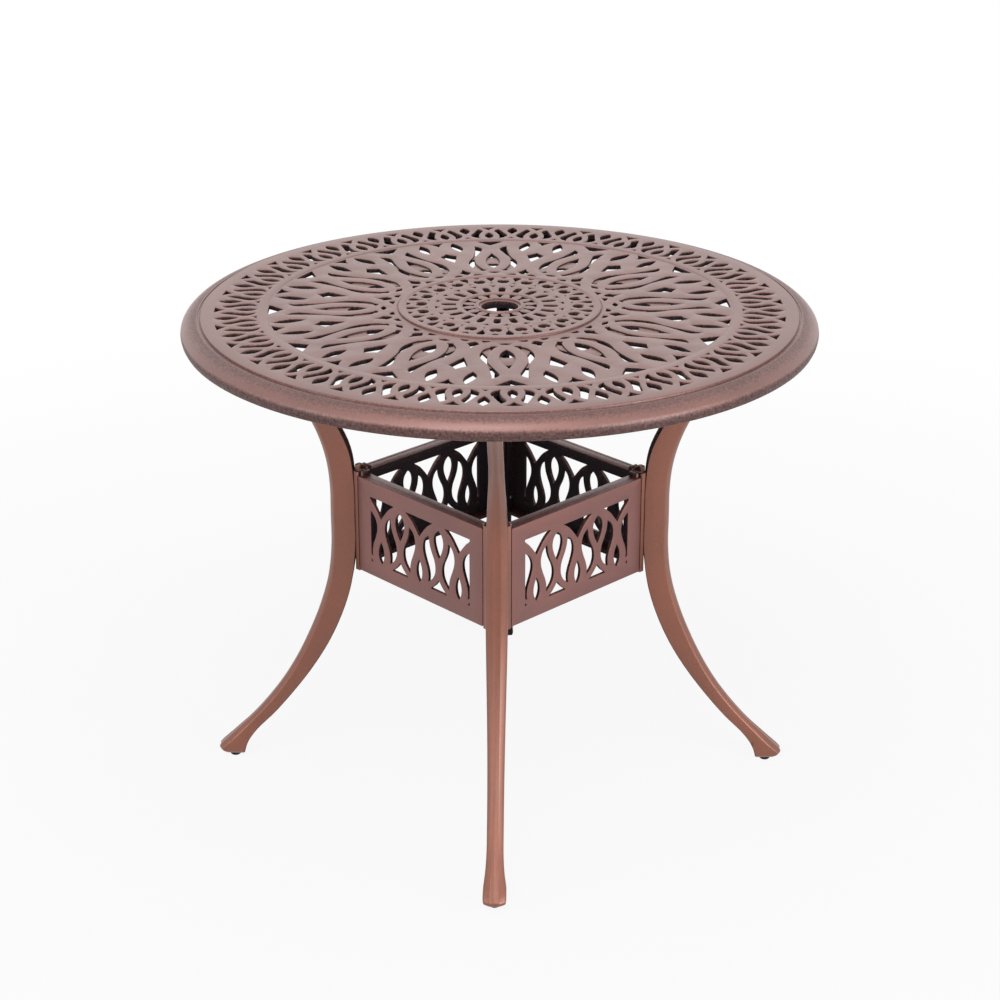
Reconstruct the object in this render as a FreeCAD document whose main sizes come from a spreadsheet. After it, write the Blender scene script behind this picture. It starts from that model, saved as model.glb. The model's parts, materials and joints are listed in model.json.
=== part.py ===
import FreeCAD, Part

import math
import os
import re
import Sketcher

V = FreeCAD.Vector
UP = V(0, 0, 1)
LYING = FreeCAD.Rotation(V(1, 0, 0), -90)

# Four corners count as flat below this volume, in cubic millimetres
FLAT = 0.001

# An arc's slope at a point is this many times the slope of its chord from the start
SLOPE_TO_CHORD = 2

# Turns about the table's axis, in degrees from the X axis
LEG_TURNS = {"front": -90, "right": 0, "back": 90, "left": 180}
PANEL_TURNS = {"front_right": -45, "back_right": 45, "back_left": 135, "front_left": 225}
EAR_TURN = PANEL_TURNS["front_right"] - LEG_TURNS["right"]

# Driving dimensions in millimetres, degrees and counts
SIZES = {
    # Whole table
    "table_height": 737.0,
    "top_radius": 457.2,
    # Rim of the top
    "rim_width": 28.7,
    "ledge_drop": 3.8,
    "ledge_width": 4.5,
    "rim_drop": 31.5,
    "rim_wall": 5.0,
    "rim_bulge_drop": 21.7,
    "rim_tuck": 3.5,
    "rim_roll_facets": 3,
    "plate_thickness": 8.0,
    # Rings of the openwork, from the rim inwards
    "border_width": 19.0,
    "band_depth": 61.6,
    "ring_width": 15.0,
    "petal_margin": 6.4,
    "medallion_radius": 146.6,
    "medallion_rise": 1.8,
    "medallion_border": 11.6,
    # Umbrella hole and the rings round it, from the hole outwards
    "hole_radius": 26.5,
    "lip_width": 3.7,
    "lip_depth": 2.5,
    "lip_border": 6.0,
    "lattice_depth": 17.3,
    "lattice_border": 9.5,
    "collar_wall": 7.0,
    "collar_depth": 20.0,
    # Repeats and turns of the openwork
    "band_repeats": 32,
    "petal_repeats": 12,
    "rosette_repeats": 20,
    "lattice_repeats": 16,
    "band_turn": 3.62,
    "petal_turn": 3.67,
    "rosette_turn": 7.27,
    "lattice_turn": 0.75,
    # Leg profile seen from the side
    "leg_inset": 204.9,
    "leg_depth": 37.3,
    "straight_top_drop": 281.0,
    "calf_height": 366.0,
    "upper_arc_radius": 220.0,
    "upper_arc_angle": 50.0,
    "shoulder_depth": 28.0,
    "calf_arc_radius": 260.0,
    "calf_arc_angle": 13.0,
    "shin_arc_radius": 475.0,
    "shin_arc_angle": 47.5,
    "ankle_depth": 23.5,
    "taper_power": 1.5,
    "upper_arc_steps": 4,
    "calf_arc_steps": 2,
    "shin_arc_steps": 5,
    # Leg widths, levels of the widths and walls
    "shoulder_drop": 180.0,
    "ankle_height": 127.0,
    "leg_top_width": 20.0,
    "leg_panel_width": 31.5,
    "leg_ankle_width": 23.5,
    "leg_bevel_depth": 6.0,
    "leg_facet_share": 0.35,
    "leg_wall": 5.0,
    # Leg pad and foot
    "pad_drop": 18.0,
    "pad_length": 40.0,
    "pad_width": 62.0,
    "pad_thickness": 10.0,
    "foot_run": 33.12,
    "foot_length": 42.0,
    "foot_width": 33.0,
    "foot_height": 29.0,
    "sole_length": 32.0,
    "sole_width": 27.0,
    "sole_height": 6.0,
    # Side panels
    "panel_corner_run": 14.95,
    "panel_top_drop": 258.5,
    "panel_height": 151.8,
    "panel_thickness": 6.0,
    "panel_flange_depth": 15.0,
    "panel_flange_thickness": 5.0,
    "panel_top_margin": 25.0,
    "panel_bottom_margin": 21.0,
    "panel_end_margin": 26.6,
    "panel_repeats": 2.56,
    "panel_tab_rise": 6.0,
    # Ears of the legs, which the panels' ends are bolted to
    "ear_span": 8.15,
    "ear_sink": 0.6,
    "ear_thickness": 5.0,
    "ear_depth": 21.0,
    "ear_root_depth": 7.5,
    "ear_rise": 10.0,
    "ear_tail": 2.0,
    # Bolts of the legs
    "leg_bolt_radius": 4.0,
    "leg_bolt_clearance": 0.5,
    "leg_bolt_head": 7.5,
    "leg_bolt_head_height": 5.3,
    "leg_bolt_length": 18.0,
    "leg_bolt_spread": 20.0,
    "leg_bolt_inset": 9.0,
    "boss_radius": 8.5,
    "boss_thread_depth": 13.0,
    "thread_gap": 0.05,
    "fastener_sides": 6,
    # Bolts of the panels
    "panel_bolt_radius": 3.0,
    "panel_bolt_clearance": 0.4,
    "panel_bolt_head": 5.2,
    "panel_bolt_head_height": 4.0,
    "panel_bolt_inset": 7.5,
    "panel_bolt_margin": 28.0,
    "panel_bolt_tail": 2.0,
    # Glides
    "glide_setback": 22.0,
    "glide_radius": 8.5,
    "glide_dome": 3.0,
    "glide_gap": 0.3,
    "glide_sides": 12,
    "stem_radius": 4.0,
    "stem_length": 20.0,
    "stem_gap": 0.3,
}

# Sizes that follow from the driving ones, as formulas of the sheet
WORKED_OUT = {
    # Rings of the top, in the order of their radii
    "ledge_radius": "top_radius - rim_width + ledge_width",
    "plateau_radius": "top_radius - rim_width",
    "band_outer_radius": "plateau_radius - border_width",
    "band_inner_radius": "band_outer_radius - band_depth",
    "petal_outer_radius": "band_inner_radius - ring_width",
    "petal_inner_radius": "medallion_radius + petal_margin",
    "rosette_outer_radius": "medallion_radius - medallion_border",
    "lip_radius": "hole_radius + lip_width",
    "lattice_inner_radius": "lip_radius + lip_border",
    "lattice_outer_radius": "lattice_inner_radius + lattice_depth",
    "rosette_inner_radius": "lattice_outer_radius + lattice_border",
    "collar_radius": "hole_radius + collar_wall",
    # Levels of the top
    "medallion_level": "table_height + medallion_rise",
    "underside": "table_height - plate_thickness",
    "pad_level": "table_height - pad_drop",
    "pad_foot": "pad_level - pad_thickness",
    # Leg, from its straight part up to its pad and down to its foot
    "leg_outer_reach": "top_radius - leg_inset",
    "leg_back_reach": "leg_outer_reach - leg_depth",
    "straight_top": "table_height - straight_top_drop",
    "shoulder_reach": "leg_outer_reach + upper_arc_radius * (1 - cos(upper_arc_angle))"
                      " - shoulder_depth * cos(upper_arc_angle)",
    "shoulder_height": "straight_top + (upper_arc_radius + shoulder_depth) * sin(upper_arc_angle)",
    "pad_reach": "shoulder_reach + (pad_foot - shoulder_height) * tan(upper_arc_angle)",
    "leg_bolt_reach": "pad_reach + pad_length - leg_bolt_inset",
    "shin_reach": "leg_outer_reach + calf_arc_radius * (1 - cos(calf_arc_angle))"
                  " + shin_arc_radius * (cos(calf_arc_angle) - cos(shin_arc_angle))",
    "foot_reach": "shin_reach + foot_run",
    "glide_reach": "foot_reach - glide_setback",
    "glide_height": "sole_height - glide_gap",
    # Panels from leg to leg; their faces cross in front of the legs' backs by the corner's run
    "panel_reach": "(leg_back_reach + panel_corner_run) / sqrt(2)",
    "panel_top": "table_height - panel_top_drop",
    "panel_bottom": "panel_top - panel_height",
    "panel_half_length": "leg_back_reach * sqrt(2) - panel_reach - ear_span",
    "panel_window_half": "panel_half_length - panel_end_margin",
    "panel_pitch": "2 * panel_window_half / panel_repeats",
    "panel_window_bottom": "panel_bottom + panel_bottom_margin",
    "panel_window_height": "panel_height - panel_bottom_margin - panel_top_margin",
    "panel_back": "panel_reach - panel_thickness - panel_flange_depth",
    "ear_face": "panel_half_length + ear_thickness",
    "ear_root": "(leg_back_reach + ear_sink) * sqrt(2) - panel_reach",
    "panel_bolt_reach": "panel_reach - panel_thickness - panel_bolt_inset",
    "panel_bolt_top": "panel_top - panel_bolt_margin",
    "panel_bolt_bottom": "panel_bottom + panel_bolt_margin",
    "panel_bolt_end": "panel_half_length - panel_flange_thickness - panel_bolt_tail",
}

os.makedirs("parts", exist_ok=True)
doc = FreeCAD.newDocument("umbrella_table")
sheet = doc.addObject("Spreadsheet::Sheet", "Sizes")
cells = {alias: str(number) for alias, number in SIZES.items()}
cells.update({alias: "=" + text for alias, text in WORKED_OUT.items()})
for row, alias in enumerate(cells, start=1):
    sheet.set("A%d" % row, alias)
    sheet.setAlias("B%d" % row, alias)
for row, content in enumerate(cells.values(), start=1):
    sheet.set("B%d" % row, content)
doc.recompute()


def size(alias):
    """The number in the sheet's cell of that name."""
    return float(sheet.get(alias))


def formula(text):
    """A formula of size names, with every name pointed at its cell in the sheet."""
    return re.sub(r"[a-z]\w+", lambda word: ("Sizes." if word[0] in cells else "") + word[0], text)


def bound(item, **formulas):
    """The object, with its properties tied to formulas; reach, along and level place it."""
    places = {"reach": "Placement.Base.x", "along": "Placement.Base.y", "level": "Placement.Base.z"}
    for name, text in formulas.items():
        item.setExpression(places.get(name, name), formula(text))
    return item


def primitive(kind, name, rotation=FreeCAD.Rotation(), **formulas):
    item = doc.addObject("Part::" + kind, name)
    item.Placement = FreeCAD.Placement(V(), rotation)
    return bound(item, **formulas)


def rod(name, rotation=FreeCAD.Rotation(), **formulas):
    """A rod with flat sides, upright or lying along Y."""
    return primitive("Prism", name, rotation, Polygon="fastener_sides", **formulas)


def boolean(kind, name, **links):
    """A Fuse, MultiFuse or Cut without seams between its flat faces."""
    item = doc.addObject("Part::" + kind, name)
    for link, value in links.items():
        setattr(item, link, value)
    item.Refine = True
    return item


def together(name, items, angle=0.0):
    """Pieces as one object, turned about the table's axis."""
    item = doc.addObject("Part::Compound", name)
    item.Links = items
    item.Placement = FreeCAD.Placement(V(), FreeCAD.Rotation(UP, angle))
    return item


def other_side(name, item):
    """The piece's mirror image on the other side of the X axis."""
    image = doc.addObject("Part::Mirroring", name)
    image.Source = item
    image.Normal = V(0, 1, 0)
    return image


def coded_shape(name, shape):
    """A piece whose flat faces follow curves that no primitive or sketch gives."""
    item = doc.addObject("Part::Feature", name)
    item.Shape = shape
    item.Placement = FreeCAD.Placement()
    return item


def body_sketch(body, name, role, offset):
    """An empty sketch on one of the body's own planes, moved out along its normal."""
    sketch = body.newObject("Sketcher::SketchObject", name)
    plane = [item for item in body.Origin.OriginFeatures if item.Role == role]
    sketch.AttachmentSupport = (plane[0], [""])
    sketch.MapMode = "FlatFace"
    sketch.setExpression("AttachmentOffset.Base.z", formula(offset))
    return sketch


def draw(sketch, corners):
    """A closed outline in a sketch, each corner held by two formulas."""
    first = sketch.GeometryCount
    places = [V(*(sheet.evalExpression(formula(text)) for text in corner), 0) for corner in corners]
    for start, end in zip(places, places[1:] + places[:1]):
        sketch.addGeometry(Part.LineSegment(start, end), False)
    for index, corner in enumerate(corners):
        after = first + (index + 1) % len(corners)
        sketch.addConstraint(Sketcher.Constraint("Coincident", first + index, 2, after, 1))
        for kind, text, value in zip(("DistanceX", "DistanceY"), corner, places[index]):
            held = sketch.addConstraint(Sketcher.Constraint(kind, -1, 1, first + index, 1, value))
            sketch.setExpression("Constraints[%d]" % held, formula(text))


def rectangle(left, right, bottom, top):
    return [(left, bottom), (right, bottom), (right, top), (left, top)]


def body_feature(body, kind, name, sketch, reverse, length):
    """A pad or a pocket of a sketch; a pocket has to take something away."""
    before = body.Shape.Volume if body.Tip else 0.0
    item = body.newObject("PartDesign::" + kind, name)
    item.Profile = sketch
    item.Reversed = reverse
    item.setExpression("Length", formula(length))
    doc.recompute()
    if (item.Shape.Volume > before) != (kind == "Pad"):
        raise RuntimeError("%s points away from its solid" % name)
    return item


def polygon_wire(points):
    return Part.makePolygon(points + points[:1])


def mirrored(outline):
    """The same outline on the other side of its axis."""
    return [(-across, along) for across, along in reversed(outline)]


def closed_about_axis(half):
    """A whole outline from the half that lies to the right of its axis."""
    left = [point for point in mirrored(half) if point[0] != 0]
    return half + left


# Outlines of the openwork: the first number is a share of one repeat, counted from the
# outline's own axis, and the second a share of the zone's depth, from its inner ring.
BAND_MAIN = [
    closed_about_axis([(0, 0.758), (0.14, 0.99)]),
    closed_about_axis([(0, 0.01), (0.093, 0.25), (0, 0.532)]),
]
BAND_SLOT = [(0.212, 0.024), (0.396, 0.28), (0.212, 0.846), (0.165, 0.52)]
BAND_BETWEEN = [
    closed_about_axis([(0, 0.411), (0.104, 0.69), (0, 0.976)]),
]

PETAL_MAIN = [
    closed_about_axis([(0, 0.875), (0.13, 0.998)]),
    closed_about_axis([(0.056, 0.515), (0, 0.631)]),
    closed_about_axis([(0, 0.208), (0.083, 0.316), (0, 0.366)]),
]
PETAL_MAIN_SIDES = [
    [(0.183, 0.592), (0.16, 0.74), (0.157, 0.85), (0.09, 0.755)],
    [(0.24, 0.35), (0.313, 0.248), (0.331, 0.34), (0.249, 0.495)],
    [(0.118, 0.14), (0.233, 0.158), (0.194, 0.211)],
]
PETAL_BETWEEN = [
    closed_about_axis([(0, 0.895), (0.075, 0.998)]),
    closed_about_axis([(0, 0.411), (0.094, 0.6), (0, 0.673)]),
    closed_about_axis([(0, 0.038), (0.093, 0.1), (0, 0.183)]),
]
PETAL_BETWEEN_SIDES = [
    [(0.169, 0.711), (0.218, 0.812), (0.153, 0.978), (0.115, 0.862)],
]

ROSETTE_MAIN = [
    closed_about_axis([(0.05, 0.569), (0.136, 0.917), (0, 0.992)]),
]
ROSETTE_BETWEEN = [
    closed_about_axis([(0, 0.585), (0.244, 0.72), (0, 0.79)]),
    closed_about_axis([(0.208, 0.003), (0.208, 0.236), (0, 0.299)]),
]
LATTICE_MAIN = [closed_about_axis([(0.16, 0.04), (0.34, 0.995)])]

PANEL_MAIN = [
    closed_about_axis([(0, 0.73), (0.36, 1.0)]),
    closed_about_axis([(0, 0.04), (0.076, 0.2), (0, 0.38)]),
]
PANEL_SLOT = [(0.2, 0.07), (0.38, 0.38), (0.26, 0.86), (0.16, 0.48)]
PANEL_BETWEEN = [
    closed_about_axis([(0, 0.5), (0.102, 0.76), (0, 0.93)]),
    closed_about_axis([(0.21, 0.0), (0, 0.18)]),
]


def ring_of_openings(repeats, turn, inner, outer, groups):
    """Outlines round the table's axis, from sheet names and groups.

    A group is the share of a repeat by which its axis is shifted, and its outlines.
    """
    count = int(size(repeats))
    pitch = 360.0 / count
    outlines = []
    for step in range(count):
        for shift, group in groups:
            axis = size(turn) + (step + shift) * pitch
            for outline in group:
                points = []
                for across, along in outline:
                    angle = math.radians(axis + across * pitch)
                    radius = size(inner) + along * (size(outer) - size(inner))
                    points.append(V(radius * math.sin(angle), -radius * math.cos(angle), 0))
                outlines.append(clockwise(points))
    return outlines


def clockwise(points):
    """The corners in clockwise order, as a hole in a face needs them."""
    pairs = zip(points, points[1:] + points[:1])
    doubled_area = sum(start.x * end.y - end.x * start.y for start, end in pairs)
    return points if doubled_area < 0 else points[::-1]


def both_sides(outlines):
    return outlines + [mirrored(outline) for outline in outlines]


def pierced_face(outer_edge, inner_edge, openings, height):
    """A flat ring between two circles, with every opening left out."""
    inner = Part.Wire(Part.makeCircle(inner_edge))
    inner.reverse()
    outer = Part.Wire(Part.makeCircle(outer_edge))
    face = Part.Face([outer, inner] + [polygon_wire(points) for points in openings])
    face.translate(V(0, 0, height))
    return face


def opening_walls(openings, bottom, top):
    """The upright walls of the openings, from the underside to the top."""
    walls = []
    for points in openings:
        wire = polygon_wire(points)
        wire.translate(V(0, 0, bottom))
        walls += wire.extrude(V(0, 0, top - bottom)).Faces
    return walls


def turned_faces(section):
    """The faces that an open section of radii and heights sweeps about the table's axis."""
    points = [V(radius, 0, height) for radius, height in section]
    return Part.makePolygon(points).revolve(V(), UP, 360).Faces


def closed_solid(faces):
    """One solid from faces that meet edge to edge."""
    shell = Part.makeShell(faces)
    shell.sewShape()
    solid = Part.makeSolid(shell)
    if solid.Volume < 0:
        solid.reverse()
    return solid


def braided_band():
    """Openings between the plain border and the plain ring."""
    return ring_of_openings(
        "band_repeats", "band_turn", "band_inner_radius", "band_outer_radius",
        [(0, BAND_MAIN + both_sides([BAND_SLOT])), (0.5, BAND_BETWEEN)])


def petal_zone():
    """Openings between the plain ring and the medallion."""
    return ring_of_openings(
        "petal_repeats", "petal_turn", "petal_inner_radius", "petal_outer_radius",
        [(0, PETAL_MAIN + both_sides(PETAL_MAIN_SIDES)),
         (0.5, PETAL_BETWEEN + both_sides(PETAL_BETWEEN_SIDES))])


def rosette():
    """Openings of the medallion and of its inner lattice."""
    return ring_of_openings(
        "rosette_repeats", "rosette_turn", "rosette_inner_radius", "rosette_outer_radius",
        [(0, ROSETTE_MAIN), (0.5, ROSETTE_BETWEEN)]
    ) + ring_of_openings(
        "lattice_repeats", "lattice_turn", "lattice_inner_radius", "lattice_outer_radius",
        [(0, LATTICE_MAIN)])


def rim_section():
    """Open section of the rolled rim: step, ledge, quarter-oval roll, lip and inner wall."""
    top = size("table_height")
    edge = size("ledge_radius")
    ledge = top - size("ledge_drop")
    bulge = top - size("rim_bulge_drop")
    roll = []
    for step in range(int(size("rim_roll_facets")) + 1):
        turn = math.radians(90) * step / size("rim_roll_facets")
        roll.append((edge + (size("top_radius") - edge) * math.sin(turn),
                     ledge - (ledge - bulge) * (1 - math.cos(turn))))
    lip = size("top_radius") - size("rim_tuck")
    bottom = top - size("rim_drop")
    wall = size("rim_wall")
    inside = [(lip, bottom), (lip - wall, bottom), (size("top_radius") - wall, bulge)]
    return [(size("plateau_radius"), top)] + roll + inside + [(edge, size("underside"))]


def hole_section():
    """Open section of the umbrella hole: lip, ledge, bore and collar."""
    level = size("medallion_level")
    ledge = level - size("lip_depth")
    bottom = level - size("collar_depth")
    bore, lip, collar = size("hole_radius"), size("lip_radius"), size("collar_radius")
    return [(lip, level), (lip, ledge), (bore, ledge), (bore, bottom), (collar, bottom),
            (collar, size("underside"))]


def around(place, radius, height):
    """A level polygon with a fastener's sides, clockwise, one corner away from the axis."""
    sides = int(size("fastener_sides"))
    outward = FreeCAD.Rotation(UP, place["turn"]).multVec(V(radius, 0, 0))
    corners = []
    for side in range(sides):
        arm = FreeCAD.Rotation(UP, -360 * side / sides).multVec(outward)
        corners.append(place["centre"] + arm + V(0, 0, height))
    return corners


def boss_places():
    """Two bosses over each leg's pad, on both sides of the leg."""
    places = []
    for turn in LEG_TURNS.values():
        for spread in (-size("leg_bolt_spread"), size("leg_bolt_spread")):
            centre = FreeCAD.Rotation(UP, turn).multVec(V(size("leg_bolt_reach"), spread, 0))
            places.append({"centre": centre, "turn": turn})
    return places


def bolt_bosses():
    """Faces of the faceted bosses under the border, each with its blind thread."""
    faces = []
    radius = size("boss_radius")
    thread = size("leg_bolt_radius") + size("thread_gap")
    foot = size("pad_level")
    depth = size("boss_thread_depth")
    for place in boss_places():
        outside = polygon_wire(around(place, radius, foot))
        inside = polygon_wire(around(place, thread, foot))
        seat = Part.Face(polygon_wire(around(place, radius, foot)[::-1]))
        faces += seat.cut(Part.Face(inside)).Faces
        faces += outside.extrude(V(0, 0, size("underside") - foot)).Faces
        faces += inside.extrude(V(0, 0, depth)).Faces
        faces.append(Part.Face(polygon_wire(around(place, thread, foot + depth))))
    return faces


def table_top():
    """The top casting: rim, border, braided band, petal zone, rosette, umbrella hole and bosses."""
    top, crown, underside = size("table_height"), size("medallion_level"), size("underside")
    medallion = size("medallion_radius")
    outer, inner = braided_band() + petal_zone(), rosette()
    seats = [around(place, size("boss_radius"), 0) for place in boss_places()]
    faces = [pierced_face(size("ledge_radius"), size("collar_radius"), outer + inner + seats, underside),
             pierced_face(size("plateau_radius"), medallion, outer, top),
             pierced_face(medallion, size("lip_radius"), inner, crown)]
    faces += opening_walls(outer, underside, top) + opening_walls(inner, underside, crown)
    faces += turned_faces([(medallion, top), (medallion, crown)])
    faces += turned_faces(rim_section()) + turned_faces(hole_section())
    faces += bolt_bosses()
    return coded_shape("table_top", closed_solid(faces))


def skinned(rings):
    """A solid whose flat faces join rings of corners one after the other."""
    faces = [Part.Face(polygon_wire(rings[0])), Part.Face(polygon_wire(rings[-1]))]
    for upper, lower in zip(rings, rings[1:]):
        for index, corner in enumerate(upper):
            after = (index + 1) % len(upper)
            quad = [corner, upper[after], lower[after], lower[index]]
            tilt = (quad[1] - quad[0]).cross(quad[3] - quad[0]).dot(quad[2] - quad[0])
            if abs(tilt) < FLAT:
                faces.append(Part.Face(polygon_wire(quad)))
            else:
                faces += [Part.Face(polygon_wire(half)) for half in (quad[:3], quad[2:] + quad[:1])]
    return closed_solid(faces)


def arc_points(start, first, last, radius, steps):
    """Points down an arc from start, whose slope from upright goes from first to last degrees."""
    begin = math.radians(first)
    points = []
    for step in range(1, steps + 1):
        angle = begin + (math.radians(last) - begin) * step / steps
        points.append((start[0] + radius * (math.cos(begin) - math.cos(angle)),
                       start[1] - radius * (math.sin(angle) - math.sin(begin))))
    return points


def upper_edges():
    """Matching points up the outer and the inner edge of a leg, from its straight part to its pad.

    The arc is drawn downwards and mirrored about the level where the straight part ends.
    """
    slope = size("upper_arc_angle")
    steps = int(size("upper_arc_steps"))
    start = (size("leg_outer_reach"), size("straight_top"))
    lowered = arc_points(start, 0, slope, size("upper_arc_radius"), steps)
    outer, inner = [], []
    for step, (reach, height) in enumerate(lowered, start=1):
        raised = 2 * start[1] - height
        depth = size("leg_depth") + (size("shoulder_depth") - size("leg_depth")) * step / steps
        turn = math.radians(slope) * step / steps
        outer.append((reach, raised))
        inner.append((reach - depth * math.cos(turn), raised + depth * math.sin(turn)))
    rise = math.tan(math.radians(slope))
    foot = size("pad_foot")
    for edge in (outer, inner):
        reach, height = edge[-1]
        edge.append((reach + (foot - height) * rise, foot))
    return outer, inner


def lower_edges():
    """Matching points down the outer and the inner edge of a leg, from its straight part to its ankle."""
    start = (size("leg_outer_reach"), size("calf_height"))
    bend = size("calf_arc_angle")
    calf = arc_points(start, 0, bend, size("calf_arc_radius"), int(size("calf_arc_steps")))
    shin = arc_points(calf[-1], bend, size("shin_arc_angle"), size("shin_arc_radius"),
                      int(size("shin_arc_steps")))
    outer, inner = calf + shin, []
    for reach, height in outer:
        fall = (start[1] - height) / (start[1] - shin[-1][1])
        taper = (size("leg_depth") - size("ankle_depth")) * fall ** size("taper_power")
        depth = size("leg_depth") - taper
        chord = math.atan2(reach - start[0], start[1] - height)
        turn = min(SLOPE_TO_CHORD * chord, math.radians(size("shin_arc_angle")))
        inner.append((reach - depth * math.cos(turn), height - depth * math.sin(turn)))
    return outer, inner


def leg_edges():
    """The outer and the inner edge of a leg from its pad to its ankle, point for point."""
    edges = []
    straight = (size("leg_outer_reach"), size("leg_back_reach"))
    for reach, upper, lower in zip(straight, upper_edges(), lower_edges()):
        edges.append(upper[::-1] + [(reach, size("straight_top")), (reach, size("calf_height"))] + lower)
    return edges


def leg_width(height):
    """Width of a leg across its radius at a height."""
    stops = [(size("sole_height"), size("sole_width")),
             (size("foot_height"), size("foot_width")),
             (size("ankle_height"), size("leg_ankle_width")),
             (size("calf_height"), size("leg_panel_width")),
             (size("straight_top"), size("leg_panel_width")),
             (size("table_height") - size("shoulder_drop"), size("leg_top_width")),
             (size("pad_level"), size("leg_top_width"))]
    for (low, low_width), (high, high_width) in zip(stops, stops[1:]):
        if low <= height <= high:
            return low_width + (high_width - low_width) * (height - low) / (high - low)
    raise ValueError("No part of a leg is %.1f mm high" % height)


def leg_section(outer, inner, width):
    """Six-sided section of a leg: flat back and sides, bevels and a narrow outer facet."""
    out = V(outer[0], 0, outer[1])
    back = V(inner[0], 0, inner[1])
    shoulder = out + (back - out).normalize() * size("leg_bevel_depth")
    facet = width * size("leg_facet_share") / 2
    half = [(back, width / 2), (shoulder, width / 2), (out, facet)]
    right = [point + V(0, across, 0) for point, across in half]
    left = [point - V(0, across, 0) for point, across in half[::-1]]
    return right + left


def channel_section(outer, inner, width):
    """Section of the open channel in a leg's back."""
    out = V(outer[0], 0, outer[1])
    back = V(inner[0], 0, inner[1])
    inward = (back - out).normalize()
    floor = out + inward * (size("leg_bevel_depth") + size("leg_wall"))
    mouth = back + inward * size("leg_wall")
    half = V(0, width / 2 - size("leg_wall"), 0)
    return [mouth + half, floor + half, floor - half, mouth - half]


def foot_stations():
    """Outer and inner points and widths of the flared foot below the ankle."""
    outer, level = size("foot_reach"), size("foot_height")
    middle, half, sole = size("glide_reach"), size("sole_length") / 2, size("sole_height")
    return [((outer, level), (outer - size("foot_length"), level), size("foot_width")),
            ((middle + half, sole), (middle - half, sole), size("sole_width"))]


def leg_limb():
    """The curved limb of a leg from its pad to its sole."""
    stations = [(out, back, leg_width(out[1])) for out, back in zip(*leg_edges())] + foot_stations()
    return coded_shape("leg_limb", skinned([leg_section(*station) for station in stations]))


def leg_channel():
    """The open channel along a leg's back, which ends short of the pad and of the ankle."""
    stations = [(out, back, leg_width(out[1])) for out, back in zip(*leg_edges())]
    return coded_shape("leg_channel", skinned([channel_section(*station) for station in stations[1:-2]]))


def leg_ear():
    """The flange at a leg's back, on one side, that a panel's end is bolted to."""
    body = doc.addObject("PartDesign::Body", "leg_ear")
    outline = body_sketch(body, "ear_outline", "XY_Plane", "panel_bottom - ear_tail")
    draw(outline, [("panel_reach", "panel_half_length"),
                   ("panel_reach", "ear_root"),
                   ("panel_reach - leg_wall", "ear_root + leg_wall"),
                   ("panel_reach - ear_root_depth", "ear_face"),
                   ("panel_reach - ear_depth", "ear_face"),
                   ("panel_reach - ear_depth", "panel_half_length")])
    body_feature(body, "Pad", "ear_block", outline, False, "panel_height + ear_tail + ear_rise")
    body.Placement = FreeCAD.Placement(V(), FreeCAD.Rotation(UP, EAR_TURN))
    return body


def leg_holes():
    """Clearance holes on one side of a leg, for its pad bolt and for the two bolts of its ear.

    Each runs on past both faces of its wall by the wall's thickness.
    """
    holes = [rod("pad_bolt_hole", Circumradius="leg_bolt_radius + leg_bolt_clearance",
                 Height="3 * pad_thickness", reach="leg_bolt_reach", along="leg_bolt_spread",
                 level="pad_foot - pad_thickness")]
    ear_holes = [rod("ear_hole_" + end, LYING, Circumradius="panel_bolt_radius + panel_bolt_clearance",
                     Height="3 * ear_thickness", reach="panel_bolt_reach",
                     along="panel_half_length - ear_thickness", level="panel_bolt_" + end)
                 for end in ("top", "bottom")]
    return together("leg_holes", holes + [together("ear_holes", ear_holes, EAR_TURN)])


def leg():
    """One leg casting along +X: curved limb, channelled back, pad, ears, holes and foot."""
    hollow_limb = boolean("Cut", "hollow_limb", Base=leg_limb(), Tool=leg_channel())
    pad = primitive("Box", "leg_pad", Length="pad_length", Width="pad_width", Height="pad_thickness",
                    reach="pad_reach", along="-pad_width / 2", level="pad_foot")
    ear = leg_ear()
    pieces = [hollow_limb, pad, ear, other_side("other_ear", ear)]
    casting = boolean("MultiFuse", "leg_casting", Shapes=pieces)
    holes = leg_holes()
    bore = rod("glide_bore", Circumradius="stem_radius + stem_gap", Height="stem_length + stem_gap",
               reach="glide_reach", level="glide_height")
    cuts = together("leg_cuts", [holes, other_side("other_leg_holes", holes), bore])
    return boolean("Cut", "leg", Base=casting, Tool=cuts)


def panel_windows():
    """Outlines of one panel's openings, along the panel and up from its foot."""
    groups = [(step, PANEL_MAIN + both_sides([PANEL_SLOT])) for step in (-1, 0, 1)]
    groups += [(step, PANEL_BETWEEN) for step in (-0.5, 0.5)]
    windows = []
    for step, outlines in groups:
        for outline in outlines:
            windows.append([("max(-panel_window_half; min(panel_window_half; %.3f * panel_pitch))"
                             % (across + step), "panel_window_bottom + %.3f * panel_window_height" % up)
                            for across, up in outline])
    return windows


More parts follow.
